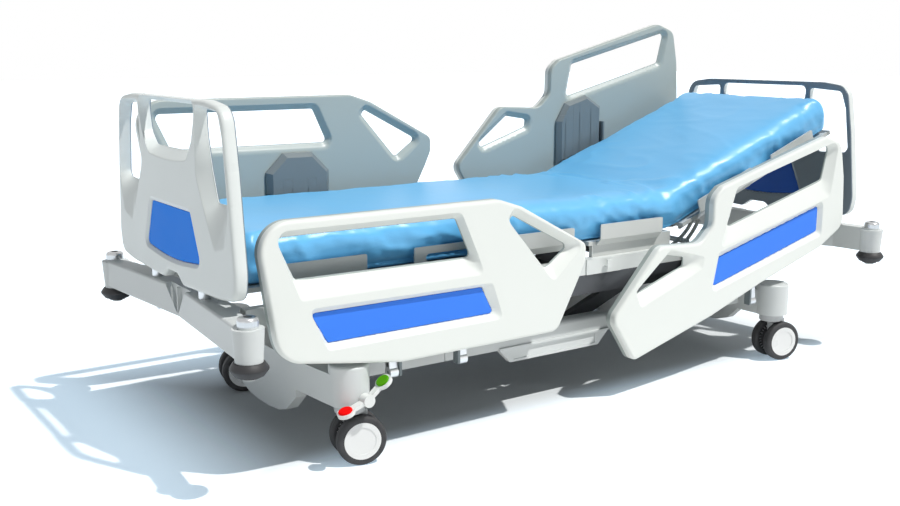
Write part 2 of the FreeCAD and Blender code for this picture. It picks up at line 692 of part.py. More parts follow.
def lever(dx, dz):
    reach = pad_reach(dx, dz)
    plate = box(0, reach, lever_middle - LEVER_HALF, lever_middle + LEVER_HALF,
                -PEDAL_LEVER_THICKNESS / 2, PEDAL_LEVER_THICKNESS / 2)
    tray = oval(reach, PAD_LENGTH + TRAY_RIM * 2, PAD_WIDTH + TRAY_RIM * 2,
                -PEDAL_LEVER_THICKNESS / 2, PEDAL_LEVER_THICKNESS / 2)
    return lever_turned(fuse([plate, tray]), dx, dz)


def lever_pad(dx, dz):
    pad = oval(pad_reach(dx, dz), PAD_LENGTH, PAD_WIDTH, 0, PAD_THICKNESS)
    pad = pad.makeFillet(PAD_ROUNDING, edges_at(pad, "Z", PAD_THICKNESS))
    return lever_turned(pad, dx, dz)


def lever_pocket(dx, dz):
    hollow = oval(pad_reach(dx, dz), PAD_LENGTH + PART_GAP, PAD_WIDTH + PART_GAP, 0, PAD_THICKNESS)
    return lever_turned(hollow, dx, dz)


pedal = fuse([pedal, pedal_pin, lever(-RED_REACH, -RED_DROP), lever(GREEN_REACH, GREEN_RISE)])
pockets = fuse([lever_pocket(-RED_REACH, -RED_DROP), lever_pocket(GREEN_REACH, GREEN_RISE)])
save("brake_pedal", pedal.cut(pockets))
save("brake_pad_red", lever_pad(-RED_REACH, -RED_DROP))
save("brake_pad_green", lever_pad(GREEN_REACH, GREEN_RISE))


# Lift arms

lift_angle = math.radians(LIFT_REST_DEG)
lift_run = LIFT_LENGTH * math.cos(lift_angle)
lift_rise = LIFT_LENGTH * math.sin(lift_angle)
upper_z = LIFT_BASE_Z + lift_rise


def lift_arms(x, upper_play):
    pieces = []
    for side in (-1, 1):
        y0 = side * LIFT_Y - LIFT_THICKNESS / 2
        y1 = side * LIFT_Y + LIFT_THICKNESS / 2
        pieces.append(box(0, LIFT_LENGTH, y0, y1, -LIFT_DEPTH / 2, LIFT_DEPTH / 2))
        pieces.append(along_y(0, 0, y0, y1, LIFT_EYE_RADIUS))
        pieces.append(along_y(LIFT_LENGTH, 0, y0, y1, LIFT_EYE_RADIUS))
    pieces.append(along_y(LIFT_LENGTH * LIFT_TUBE_SHARE, 0, -LIFT_Y, LIFT_Y, LIFT_TUBE_RADIUS))
    arms = fuse(pieces)
    reach = LIFT_Y + LIFT_THICKNESS
    arms = arms.cut(along_y(0, 0, -reach, reach, LIFT_SHAFT_RADIUS + RUNNING_FIT))
    arms = arms.cut(along_y(LIFT_LENGTH, 0, -reach, reach, LIFT_SHAFT_RADIUS + upper_play))
    arms.rotate(V(0, 0, 0), V(0, 1, 0), -LIFT_REST_DEG)
    arms.translate(V(x, 0, LIFT_BASE_Z))
    return arms


save("foot_lift_arms", lift_arms(LIFT_FOOT_X, RUNNING_FIT))
save("head_lift_arms", lift_arms(LIFT_HEAD_X, LIFT_OPEN_PLAY))


# Side members with rail pivots, track shaft and hook plates

def rail_lift_stations():
    return ((FOOT_STATION_X, RAIL_PIVOT_Z + FOOT_RAIL_DROP / 2),
            (HEAD_STATION_X, RAIL_PIVOT_Z + HEAD_RAIL_DROP / 2))


def cheek_and_pin(x_arm, direction, y0, y1, z0, z1, pivot_y, pivot_z):
    near = x_arm + direction * (ARM_THICKNESS / 2 + SIDE_PLAY)
    far = near + direction * CHEEK_THICKNESS
    tip = x_arm - direction * (ARM_THICKNESS / 2 - SIDE_PLAY)
    plate = box(min(near, far), max(near, far), y0, y1, z0, z1)
    pin = along_x(min(near, tip), max(near, tip), pivot_y, pivot_z, ARM_PIN_RADIUS)
    return [plate, pin]


def deck_pivots(x, pivot_z):
    pieces = []
    for direction in (-1, 1):
        arm_x = x + direction * ARM_OFFSET
        link_x = x + direction * LINK_OFFSET
        pieces += cheek_and_pin(arm_x, direction, -CHEEK_OUTER, -SIDE_OUTER,
                                min(pivot_z - CHEEK_LIP, SIDE_BOTTOM), SIDE_TOP,
                                -DECK_PIVOT_Y, pivot_z)
        link_z = pivot_z + LINK_RISE
        pieces += cheek_and_pin(link_x, direction, -CHEEK_OUTER, -SIDE_OUTER, SIDE_BOTTOM,
                                max(link_z + CHEEK_LIP, SIDE_TOP), -DECK_PIVOT_Y, link_z)
    return pieces


member_end = CROSS_MIDDLE_X - CROSS_DEPTH
tube = box(-member_end, member_end, -SIDE_OUTER, -SIDE_OUTER + SIDE_WIDTH, SIDE_BOTTOM, SIDE_TOP)
tube = tube.cut(box(-member_end - OVERRUN, member_end + OVERRUN, SIDE_WALL - SIDE_OUTER,
                    SIDE_WIDTH - SIDE_OUTER - SIDE_WALL, SIDE_BOTTOM + SIDE_WALL,
                    SIDE_TOP - SIDE_WALL))
member = [tube]
for station_x, pivot_z in rail_lift_stations():
    member += deck_pivots(station_x, pivot_z)
plate_x1 = HOOK_PLATE_FOOT_X + HOOK_PLATE_LENGTH
hook_x = HOOK_PLATE_FOOT_X + HOOK_PLATE_LENGTH / 2
plate_face = -SIDE_OUTER - HOOK_PLATE_THICKNESS
member.append(box(HOOK_PLATE_FOOT_X, plate_x1, plate_face, -SIDE_OUTER, SIDE_BOTTOM, SIDE_TOP))
member.append(box(hook_x, hook_x + HOOK_WIDTH, plate_face - HOOK_REACH, plate_face,
                  SIDE_TOP - HOOK_DROP - HOOK_PLATE_THICKNESS, SIDE_TOP - HOOK_DROP))
member.append(box(hook_x, hook_x + HOOK_WIDTH, plate_face - HOOK_REACH,
                  plate_face - HOOK_REACH + HOOK_PLATE_THICKNESS,
                  SIDE_TOP - HOOK_DROP - HOOK_PLATE_THICKNESS, SIDE_TOP - HOOK_PLATE_THICKNESS))
track_angle = math.radians(TRACK_SHAFT_DEG)
track_x = BACK_PIVOT_X + TRACK_RADIUS * math.cos(track_angle)
track_z = BACK_PIVOT_Z + TRACK_RADIUS * math.sin(track_angle)
inside = SIDE_OUTER - SIDE_WIDTH
track_shaft = along_y(track_x, track_z, -inside - OVERRUN, inside + OVERRUN, TRACK_SHAFT_RADIUS)
side_member = fuse(member)
save("side_members", fuse([side_member, flip_y(side_member), track_shaft]))


# Dark lower channels with the shafts for the lift arms' upper ends

upper_shaft_reach = SIDE_OUTER - CHANNEL_WALL
channel_parts = []
for side in (-1, 1):
    outer = side * SIDE_OUTER
    inner = side * inside
    channel = box(-CHANNEL_END_X, CHANNEL_END_X, min(outer, inner), max(outer, inner),
                  CHANNEL_BOTTOM, SIDE_BOTTOM)
    hollow_outer = side * (SIDE_OUTER - CHANNEL_WALL)
    hollow_inner = side * (inside - OVERRUN)
    hollow = box(-CHANNEL_END_X - OVERRUN, CHANNEL_END_X + OVERRUN,
                 min(hollow_outer, hollow_inner), max(hollow_outer, hollow_inner),
                 CHANNEL_BOTTOM + CHANNEL_WALL, SIDE_BOTTOM - CHANNEL_WALL)
    channel_parts.append(channel.cut(hollow))
for x in (LIFT_FOOT_X, LIFT_HEAD_X):
    channel_parts.append(along_y(x + lift_run, upper_z, -upper_shaft_reach, upper_shaft_reach,
                                 LIFT_SHAFT_RADIUS))
save("lower_channels", fuse(channel_parts))


# End crossbeams

def end_crossbeam():
    bow = POST_X - CROSS_MIDDLE_X
    front_end = POST_X + POST_RADIUS_TOP * POST_FRONT_SHARE
    plan = [(front_end, -POST_Y), (CROSS_MIDDLE_X, 0), (front_end, POST_Y),
            (POST_X - POST_RADIUS_TOP * POST_BACK_SHARE, POST_Y),
            (CROSS_MIDDLE_X - CROSS_DEPTH + CROSS_BACK_BOW, inside + SIDE_WIDTH + bow),
            (CROSS_MIDDLE_X - CROSS_DEPTH, inside), (CROSS_MIDDLE_X - CROSS_DEPTH, -inside),
            (CROSS_MIDDLE_X - CROSS_DEPTH + CROSS_BACK_BOW, -inside - SIDE_WIDTH - bow),
            (POST_X - POST_RADIUS_TOP * POST_BACK_SHARE, -POST_Y)]
    beam = prism(straight_wire(plan, in_xy(CROSS_BOTTOM)), V(0, 0, CROSS_TOP - CROSS_BOTTOM))
    long_edges = [edge for value in (CROSS_BOTTOM, CROSS_TOP)
                  for edge in edges_at(beam, "Z", value)
                  if edge.BoundBox.XMin > CROSS_MIDDLE_X - OVERRUN and edge.BoundBox.YLength > POST_Y / 2]
    beam = beam.makeFillet(CROSS_ROUNDING, long_edges)
    notch_outline = [(-NOTCH_HALF, CROSS_TOP + OVERRUN), (NOTCH_HALF, CROSS_TOP + OVERRUN),
                     (NOTCH_RIB, NOTCH_APEX), (-NOTCH_RIB, NOTCH_APEX)]
    notch = prism(straight_wire(notch_outline, in_yz(CROSS_MIDDLE_X - NOTCH_DEPTH)),
                  V(NOTCH_DEPTH * 2 + OVERRUN, 0, 0))
    rib = box(CROSS_MIDDLE_X - NOTCH_DEPTH, CROSS_MIDDLE_X, -NOTCH_RIB / 2, NOTCH_RIB / 2,
              NOTCH_APEX, CROSS_TOP)
    beam = fuse([beam.cut(notch), rib])
    for side in (-1, 1):
        post = Part.makeCone(POST_RADIUS_BOTTOM, POST_RADIUS_TOP, POST_TOP - POST_BOTTOM,
                             V(POST_X, side * POST_Y, POST_BOTTOM), V(0, 0, 1))
        dome = cylinder(V(POST_X, side * POST_Y, POST_TOP), V(0, 0, 1), DOME_RADIUS,
                        DOME_TOP - POST_TOP)
        dome = dome.makeFillet(DOME_ROUNDING, edges_at(dome, "Z", DOME_TOP))
        pin = cylinder(V(POST_X, side * POST_Y, DISC_BOTTOM - WASHER_THICKNESS), V(0, 0, 1),
                       DISC_PIN_RADIUS, POST_BOTTOM - DISC_BOTTOM + WASHER_THICKNESS)
        washer = cylinder(V(POST_X, side * POST_Y, DISC_BOTTOM - PART_GAP - WASHER_THICKNESS),
                          V(0, 0, 1), WASHER_RADIUS, WASHER_THICKNESS)
        beam = fuse([beam, post, dome, pin, washer])
        beam = beam.cut(cylinder(V(POST_X, side * POST_Y, DOME_TOP - SOCKET_DEPTH), V(0, 0, 1),
                                 SOCKET_RADIUS, SOCKET_DEPTH + OVERRUN))
        beam = beam.cut(cylinder(V(STUD_X, side * STUD_Y, CROSS_BOTTOM - OVERRUN), V(0, 0, 1),
                                 STUD_RADIUS + SLIDING_FIT,
                                 CROSS_TOP - CROSS_BOTTOM + 2 * OVERRUN))
    return beam


head_cross = end_crossbeam()
save("end_crossbeams", Part.makeCompound([flip_x(head_cross), head_cross]))

disc_top = POST_BOTTOM - PART_GAP
disc_profile = [(DISC_PIN_RADIUS + RUNNING_FIT, DISC_BOTTOM), (DISC_RIM_RADIUS, DISC_BOTTOM),
                (DISC_RADIUS, (DISC_BOTTOM + disc_top) / 2), (DISC_RIM_RADIUS, disc_top),
                (DISC_PIN_RADIUS + RUNNING_FIT, disc_top)]
bumper = Part.Face(straight_wire(disc_profile, in_xz(0))).revolve(V(0, 0, 0), V(0, 0, 1), 360)
for end, x in (("foot", -POST_X), ("head", POST_X)):
    for name, side in (("near", -1), ("far", 1)):
        save("bumper_%s_%s" % (end, name), moved(bumper, V(x, side * POST_Y, 0)))


# Head and foot boards with their inserts and studs

def board_points(shares, side=1):
    return [(side * u * BOARD_HALF, BOARD_BOTTOM + v * BOARD_HEIGHT, r * BOARD_HEIGHT)
            for u, v, r in shares]


def closed_by_mirror(shares, middle=()):
    right = board_points(shares)
    left = board_points(shares, -1)
    return right + board_points(middle) + left[::-1]


def tapered_cut(front, back):
    outer = rounded_wire(front, in_yz(BOARD_OUTER_X + OVERRUN))
    inner = rounded_wire(back, in_yz(BOARD_INNER_X - OVERRUN))
    return Part.makeLoft([outer, inner], True, True)


outline = rounded_wire(closed_by_mirror(BOARD_SHARES), in_yz(BOARD_INNER_X))
board = prism(outline, V(BOARD_THICKNESS, 0, 0))
rim = edges_at(board, "X", BOARD_INNER_X) + edges_at(board, "X", BOARD_OUTER_X)
board = board.makeFillet(BOARD_ROUNDING, rim)
board = board.cut(tapered_cut(closed_by_mirror(CENTRE_FRONT_SHARES),
                              closed_by_mirror(CENTRE_BACK_SHARES)))
for side in (1, -1):
    board = board.cut(tapered_cut(board_points(SLOT_FRONT_SHARES, side),
                                  board_points(SLOT_BACK_SHARES, side)))
    bowl = prism(rounded_wire(board_points(BOWL_SHARES, side), in_yz(BOARD_OUTER_X - BOWL_DEPTH)),
                 V(BOWL_DEPTH + OVERRUN, 0, 0))
    board = board.cut(bowl)
insert_outline = closed_by_mirror(INSERT_SHARES, INSERT_DIP_SHARES)
insert_wire = rounded_wire(insert_outline, in_yz(BOARD_INNER_X - OVERRUN))
board = board.cut(prism(insert_wire, V(BOARD_THICKNESS + 2 * OVERRUN, 0, 0)))
insert_wire = rounded_wire(insert_outline, in_yz(BOARD_INNER_X + INSERT_RECESS))
insert = prism(insert_wire, V(BOARD_THICKNESS - 2 * INSERT_RECESS, 0, 0))
studs = []
for side in (-1, 1):
    studs.append(cylinder(V(STUD_X, side * STUD_Y, STUD_TIP), V(0, 0, 1), STUD_RADIUS,
                          BOARD_BOTTOM + BOARD_ROUNDING * 2 - STUD_TIP))
    studs.append(cylinder(V(STUD_X, side * STUD_Y, CROSS_TOP), V(0, 0, 1), STUD_COLLAR_RADIUS,
                          BOARD_BOTTOM + BOARD_ROUNDING - CROSS_TOP))
board = fuse([board] + studs)
save("headboard", board)
save("headboard_insert", insert)
save("footboard", flip_x(board))
save("footboard_insert", flip_x(insert))


# Deck panels

def plate(x0, x1):
    return box(x0, x1, -DECK_HALF, DECK_HALF, DECK_TOP - DECK_PLATE, DECK_TOP)


def retainer(x0, length, grip=False):
    outer, inner = RETAINER_OUTER, RETAINER_OUTER - RETAINER_THICKNESS
    low = RETAINER_FOOT_Z
    section = [(-RETAINER_FOOT_Y, low), (-outer, RETAINER_KNEE_Z), (-outer, RETAINER_TOP),
               (-inner, RETAINER_TOP), (-inner, RETAINER_KNEE_Z + RETAINER_THICKNESS / 2),
               (-RETAINER_FOOT_Y + RETAINER_THICKNESS, low + RETAINER_THICKNESS)]
    panel = prism(straight_wire(section, in_yz(x0)), V(length, 0, 0))
    corners = [edge for edge in panel.Edges
               if edge.BoundBox.ZMin > RETAINER_TOP - OVERRUN and edge.BoundBox.XLength < OVERRUN]
    panel = panel.makeFillet(RETAINER_ROUNDING, corners)
    if grip:
        hole = box(x0 + GRIP_HOLE_INSET, x0 + length - GRIP_HOLE_INSET, -outer - OVERRUN,
                   -inner + OVERRUN, GRIP_HOLE_BOTTOM, GRIP_HOLE_TOP)
        across = [edge for edge in hole.Edges
                  if edge.BoundBox.YLength > RETAINER_THICKNESS and edge.BoundBox.XLength < OVERRUN]
        rounding = (GRIP_HOLE_TOP - GRIP_HOLE_BOTTOM) / 2 - PART_GAP
        panel = panel.cut(hole.makeFillet(rounding, across))
    tab = box(x0, x0 + length, -RETAINER_FOOT_Y - RETAINER_THICKNESS, -DECK_HALF + DECK_PLATE,
              low, low + RETAINER_THICKNESS)
    wing = fuse([panel, tab.common(box(x0, x0 + length, -RETAINER_FOOT_Y, 0, low, DECK_TOP))])
    return both_sides(wing)


def hinge_pin(x):
    reach = KNUCKLE_Y + KNUCKLE_WIDTH * 1.5 + SIDE_PLAY
    return along_y(x, HINGE_Z, -reach, reach, HINGE_PIN_RADIUS)


def hinge_bore(x):
    reach = KNUCKLE_Y + KNUCKLE_WIDTH * 2
    return along_y(x, HINGE_Z, -reach, reach, HINGE_PIN_RADIUS + RUNNING_FIT)


def eye_side(x, direction):
    pieces = []
    for side in (-1, 1):
        middle = side * KNUCKLE_Y
        y0, y1 = middle - KNUCKLE_WIDTH / 2, middle + KNUCKLE_WIDTH / 2
        pieces.append(along_y(x, HINGE_Z, y0, y1, KNUCKLE_RADIUS))
        far = x + direction * KNUCKLE_RADIUS * 2
        pieces.append(box(min(x, far), max(x, far), y0, y1, HINGE_Z - KNUCKLE_RADIUS / 2,
                          DECK_TOP - DECK_PLATE))
    return pieces


def pin_side(x, direction):
    offset = KNUCKLE_WIDTH + SIDE_PLAY
    pieces = [hinge_pin(x)]
    for side in (-1, 1):
        middle = side * (KNUCKLE_Y + offset)
        y0, y1 = middle - KNUCKLE_WIDTH / 2, middle + KNUCKLE_WIDTH / 2
        pieces.append(along_y(x, HINGE_Z, y0, y1, KNUCKLE_RADIUS))
        far = x + direction * KNUCKLE_RADIUS * 2
        pieces.append(box(min(x, far), max(x, far), y0, y1, HINGE_Z - KNUCKLE_RADIUS / 2,
                          DECK_TOP - DECK_PLATE))
    return pieces


seat_x0 = THIGH_HINGE_X + SEAT_FRONT_GAP
runner = box(seat_x0 + KNUCKLE_RADIUS, SEAT_END_X - PANEL_GAP, -DECK_HALF, -inside, SIDE_TOP,
             DECK_TOP - DECK_PLATE)
seat = fuse([plate(seat_x0, SEAT_END_X - PANEL_GAP)] + both_sides(runner)
            + retainer(SEAT_RETAINER_FOOT_X, SEAT_RETAINER_LENGTH) + pin_side(THIGH_HINGE_X, 1))
save("seat_deck", seat)

thigh_x0 = CALF_HINGE_X + PANEL_GAP
thigh = fuse([plate(thigh_x0, THIGH_HINGE_X - PANEL_GAP)]
             + retainer(THIGH_RETAINER_FOOT_X, THIGH_RETAINER_LENGTH)
             + eye_side(THIGH_HINGE_X, -1) + pin_side(CALF_HINGE_X, 1))
save("thigh_deck", thigh.cut(hinge_bore(THIGH_HINGE_X)))

calf = fuse([plate(CALF_END_X, CALF_HINGE_X - PANEL_GAP)]
            + retainer(CALF_RETAINER_FOOT_X, CALF_RETAINER_LENGTH)
            + retainer(GRIP_RETAINER_FOOT_X, GRIP_RETAINER_LENGTH, grip=True)
            + eye_side(CALF_HINGE_X, -1))
save("calf_deck", calf.cut(hinge_bore(CALF_HINGE_X)))


# Back panel: drawn flat, then raised about the pivot at the mattress top, guided by arc tracks

def arc_track():
    outer = TRACK_RADIUS + TRACK_HALF_DEPTH
    inner = TRACK_RADIUS - TRACK_HALF_DEPTH
    slot_outer = TRACK_RADIUS + TRACK_SHAFT_RADIUS + RUNNING_FIT
    slot_inner = TRACK_RADIUS - TRACK_SHAFT_RADIUS - RUNNING_FIT
    centre = V(BACK_PIVOT_X, -TRACK_Y - TRACK_THICKNESS, BACK_PIVOT_Z)

    def sector(low, high, start, end):
        def at(radius, degrees):
            angle = math.radians(degrees)
            return centre + V(radius * math.cos(angle), 0, radius * math.sin(angle))
        middle = (start + end) / 2
        edges = [Part.Arc(at(high, start), at(high, middle), at(high, end)).toShape(),
                 Part.makeLine(at(high, end), at(low, end)),
                 Part.Arc(at(low, end), at(low, middle), at(low, start)).toShape(),
                 Part.makeLine(at(low, start), at(high, start))]
        return prism(Part.Wire(edges), V(0, TRACK_THICKNESS, 0))

    margin = math.degrees(TRACK_HALF_DEPTH / TRACK_RADIUS) / 2
    band = sector(inner, outer, TRACK_START_DEG, TRACK_END_DEG)
    slot = sector(slot_inner, slot_outer, TRACK_START_DEG + margin, TRACK_END_DEG - margin)
    return band.cut(slot)


track = arc_track()
tie = box(TRACK_TIE_START_X, TRACK_TIE_START_X + TRACK_TIE_LENGTH, -TRACK_Y - TRACK_THICKNESS,
          -TRACK_Y, BACK_PIVOT_Z + (TRACK_RADIUS - TRACK_HALF_DEPTH) * math.sin(track_angle) - OVERRUN,
          DECK_TOP - DECK_PLATE)
slot_band = TRACK_RADIUS + TRACK_SHAFT_RADIUS + RUNNING_FIT
tie = tie.cut(along_y(BACK_PIVOT_X, BACK_PIVOT_Z, -TRACK_Y - 2 * TRACK_THICKNESS, 0, slot_band).cut(
    along_y(BACK_PIVOT_X, BACK_PIVOT_Z, -TRACK_Y - 2 * TRACK_THICKNESS, 0,
            TRACK_RADIUS - TRACK_SHAFT_RADIUS - RUNNING_FIT)))
back_parts = [plate(SEAT_END_X + PANEL_GAP, BACK_END_X)] + both_sides(track) + both_sides(tie)
for x0, length in BACK_RETAINER_STARTS:
    back_parts += retainer(x0, length)
back = fuse(back_parts)
back_pivot = V(BACK_PIVOT_X, 0, BACK_PIVOT_Z)
save("backrest_deck", turned(back, back_pivot, V(0, -1, 0), BACK_REST_DEG))


# Mattress: four cushions with a crown and drawn-in sides

def cushion_section(x, share):
    pull = MATTRESS_END_TAPER * share
    bottom = MATTRESS_BOTTOM_HALF - pull
    low = MATTRESS_LOW_HALF - pull
    bulge = MATTRESS_HALF - pull
    shoulder = MATTRESS_SHOULDER_HALF - pull
    top = MATTRESS_TOP - pull / 2

    def p(y, z):
        return V(x, y, z)

    edges = [Part.makeLine(p(-bottom, MATTRESS_BASE), p(bottom, MATTRESS_BASE)),
             Part.makeLine(p(bottom, MATTRESS_BASE), p(low, MATTRESS_LOW_Z)),
             Part.Arc(p(low, MATTRESS_LOW_Z), p(bulge, MATTRESS_BULGE_Z - pull / 2),
                      p(shoulder, MATTRESS_SHOULDER_Z - pull / 2)).toShape(),
             Part.Arc(p(shoulder, MATTRESS_SHOULDER_Z - pull / 2), p(0, top),
                      p(-shoulder, MATTRESS_SHOULDER_Z - pull / 2)).toShape(),
             Part.Arc(p(-shoulder, MATTRESS_SHOULDER_Z - pull / 2), p(-bulge, MATTRESS_BULGE_Z - pull / 2),
                      p(-low, MATTRESS_LOW_Z)).toShape(),
             Part.makeLine(p(-low, MATTRESS_LOW_Z), p(-bottom, MATTRESS_BASE))]
    return Part.Wire(edges)


def cushion(x0, x1, end_low, end_high):
    inset = MATTRESS_END_TAPER
    sections = []
    if end_low:
        sections += [(x0, 1.0), (x0 + inset, 0.0)]
    else:
        sections.append((x0, 0.0))
    if end_high:
        sections += [(x1 - inset, 0.0), (x1, 1.0)]
    else:
        sections.append((x1, 0.0))
    return Part.makeLoft([cushion_section(x, share) for x, share in sections], True, True)


save("mattress_calf", cushion(MATTRESS_FOOT_X, CALF_HINGE_X - MATTRESS_SPLIT / 2, True, False))
save("mattress_thigh", cushion(CALF_HINGE_X + MATTRESS_SPLIT / 2, THIGH_HINGE_X - MATTRESS_SPLIT / 2,
                               False, False))
save("mattress_seat", cushion(THIGH_HINGE_X + MATTRESS_SPLIT / 2, BACK_PIVOT_X - MATTRESS_SPLIT / 2,
                              False, False))
back_cushion = cushion(BACK_PIVOT_X + MATTRESS_SPLIT / 2, MATTRESS_BACK_END_X, False, True)
save("mattress_back", turned(back_cushion, back_pivot, V(0, -1, 0), BACK_REST_DEG))


# Side rails: body with windows, coloured insert, and the bevelled cover with its arm cheeks

def rail_loft(front, back, y_front, y_back):
    return Part.makeLoft([rounded_wire(front, in_xz(y_front)), rounded_wire(back, in_xz(y_back))],
                         True, True)


def side_rail(x, z, length, height, body, windows, panel):
    def points(shares):
        return placed_shares(shares, x, z, length, height)

    slab = prism(rounded_wire(points(body), in_xz(-RAIL_OUTER)), V(0, RAIL_OUTER - RAIL_INNER, 0))
    rims = edges_at(slab, "Y", -RAIL_OUTER) + edges_at(slab, "Y", -RAIL_INNER)
    slab = slab.makeFillet(RAIL_ROUNDING, rims)
    for front, back in windows:
        slab = slab.cut(rail_loft(points(front), points(back), -RAIL_OUTER - OVERRUN,
                                  -RAIL_INNER + OVERRUN))
    panel_front, panel_back = panel
    slab = slab.cut(rail_loft(points(panel_front), points(panel_back), -RAIL_OUTER - OVERRUN,
                              -PANEL_STEP))
    seat_cut = prism(rounded_wire(points(panel_back), in_xz(-PANEL_STEP - OVERRUN)),
                     V(0, PANEL_STEP + OVERRUN - PANEL_INNER, 0))
    slab = slab.cut(seat_cut)
    coloured = prism(rounded_wire(points(panel_back), in_xz(-PANEL_FACE)),
                     V(0, PANEL_FACE - PANEL_INNER, 0))
    return slab, coloured


def rail_cover(z, height, shares, station_x, drop):
    outline = [(station_x + u * ARM_OFFSET, z + v * height) for u, v in shares]
    middle_u = sum(u for u, v in outline) / len(outline)
    middle_v = sum(v for u, v in outline) / len(outline)
    span_u = max(u for u, v in outline) - min(u for u, v in outline)
    span_v = max(v for u, v in outline) - min(v for u, v in outline)
    small = [(middle_u + (u - middle_u) * (1 - 2 * COVER_BEVEL / span_u),
              middle_v + (v - middle_v) * (1 - 2 * COVER_BEVEL / span_v)) for u, v in outline]
    step = COVER_INNER + COVER_BEVEL
    base = prism(straight_wire(outline, in_xz(-RAIL_INNER)), V(0, RAIL_INNER - step, 0))
    top = Part.makeLoft([straight_wire(outline, in_xz(-step)),
                         straight_wire(small, in_xz(-COVER_INNER))], True, True)
    cover = fuse([base, top])
    pivot_low = RAIL_PIVOT_Z - CHEEK_LIP
    for direction in (-1, 1):
        arm_x = station_x + direction * ARM_OFFSET
        link_x = station_x + direction * LINK_OFFSET
        for centre_x, rise in ((arm_x, 0), (link_x, LINK_RISE)):
            half = ARM_THICKNESS / 2 + ARM_SLOT_PLAY
            cover = cover.cut(box(centre_x - half, centre_x + half, COVER_BACK - RAIL_INNER, 0,
                                  pivot_low - OVERRUN,
                                  RAIL_PIVOT_Z + rise + drop / 2 + ARM_TOE_RADIUS))
    pieces = [cover]
    for direction in (-1, 1):
        arm_x = station_x + direction * ARM_OFFSET
        link_x = station_x + direction * LINK_OFFSET
        for centre_x, rise in ((arm_x, 0), (link_x, LINK_RISE)):
            pieces += cheek_and_pin(centre_x, -direction, -RAIL_INNER, -COVER_INNER,
                                    RAIL_PIVOT_Z + rise - CHEEK_LIP,
                                    RAIL_PIVOT_Z + rise + drop / 2 - ARM_TOE_RADIUS,
                                    -RAIL_PIVOT_Y, RAIL_PIVOT_Z + rise)
    return fuse(pieces)


def rail_arm(x, rise, drop, toe_radius):
    low = RAIL_PIVOT_Z + rise
    high = low + drop / 2
    run = RAIL_PIVOT_Y - DECK_PIVOT_Y
    length = math.hypot(run, drop / 2)
    lean = math.degrees(math.atan2(run, drop / 2))
    x0, x1 = x - ARM_THICKNESS / 2, x + ARM_THICKNESS / 2
    bar = box(x0, x1, -RAIL_PIVOT_Y - ARM_WIDTH / 2, -RAIL_PIVOT_Y + ARM_WIDTH / 2, low, low + length)
    toe = along_x(x0, x1, -RAIL_PIVOT_Y, low, toe_radius)
    head = along_x(x0, x1, -RAIL_PIVOT_Y, low + length, ARM_WIDTH / 2)
    arm = fuse([bar, toe, head])
    arm = arm.cut(along_x(x0 - OVERRUN, x1 + OVERRUN, -RAIL_PIVOT_Y, low,
                          ARM_PIN_RADIUS + RUNNING_FIT))
    arm = arm.cut(along_x(x0 - OVERRUN, x1 + OVERRUN, -RAIL_PIVOT_Y, low + length,
                          ARM_PIN_RADIUS + RUNNING_FIT))
    arm = arm.cut(box(x0 - OVERRUN, x0 + ARM_HOLLOW_DEPTH, -RAIL_PIVOT_Y - ARM_HOLLOW_WIDTH / 2,
                      -RAIL_PIVOT_Y + ARM_HOLLOW_WIDTH / 2, low + toe_radius,
                      low + length - ARM_WIDTH))
    return turned(arm, V(0, -RAIL_PIVOT_Y, low), V(1, 0, 0), -lean)


def arm_pair(station_x, offset, rise, drop, raised, toe_radius):
    arms = []
    for direction in (-1, 1):
        arm = rail_arm(station_x + direction * offset, rise, drop, toe_radius)
        if raised:
            pivot_z = RAIL_PIVOT_Z + rise + drop / 2
            arm = arm.mirror(V(0, 0, pivot_z), V(0, 0, 1))
        arms.append(arm)
    return Part.makeCompound(arms)


RAILS = {
    "foot": (FOOT_RAIL_X, FOOT_RAIL_Z, FOOT_RAIL_LENGTH, FOOT_RAIL_HEIGHT, FOOT_RAIL_SHARES,
             [(FOOT_WINDOW_FRONT_SHARES, FOOT_WINDOW_BACK_SHARES),
              (FOOT_NOSE_FRONT_SHARES, FOOT_NOSE_BACK_SHARES)],
             (FOOT_PANEL_FRONT_SHARES, FOOT_PANEL_BACK_SHARES),
             FOOT_COVER_SHARES, FOOT_STATION_X, FOOT_RAIL_DROP),
    "head": (HEAD_RAIL_X, HEAD_RAIL_Z, HEAD_RAIL_LENGTH, HEAD_RAIL_HEIGHT, HEAD_RAIL_SHARES,
             [(HEAD_WINDOW_FRONT_SHARES, HEAD_WINDOW_BACK_SHARES),
              (HEAD_NOSE_FRONT_SHARES, HEAD_NOSE_BACK_SHARES)],
             (HEAD_PANEL_FRONT_SHARES, HEAD_PANEL_BACK_SHARES),
             HEAD_COVER_SHARES, HEAD_STATION_X, HEAD_RAIL_DROP),
}
for end, (x, z, length, height, body, windows, panel, cover_shares, station, drop) in RAILS.items():
    rail, coloured = side_rail(x, z, length, height, body, windows, panel)
    cheeks = rail_cover(z, height, cover_shares, station, drop)
    raise_by = V(0, 0, drop)
    save("rail_%s_near" % end, rail)
    save("rail_insert_%s_near" % end, coloured)
    save("rail_cover_%s_near" % end, cheeks)
    save("rail_%s_far" % end, moved(flip_y(rail), raise_by))
    save("rail_insert_%s_far" % end, moved(flip_y(coloured), raise_by))
    save("rail_cover_%s_far" % end, moved(flip_y(cheeks), raise_by))
    for side, raised in (("near", False), ("far", True)):
        arms = arm_pair(station, ARM_OFFSET, 0, drop, raised, ARM_TOE_RADIUS)
        links = arm_pair(station, LINK_OFFSET, LINK_RISE, drop, raised, LINK_TOE_RADIUS)
        save("rail_arms_%s_%s" % (end, side), flip_y(arms) if raised else arms)
        save("rail_links_%s_%s" % (end, side), flip_y(links) if raised else links)

print("saved", len(saved), "nodes")
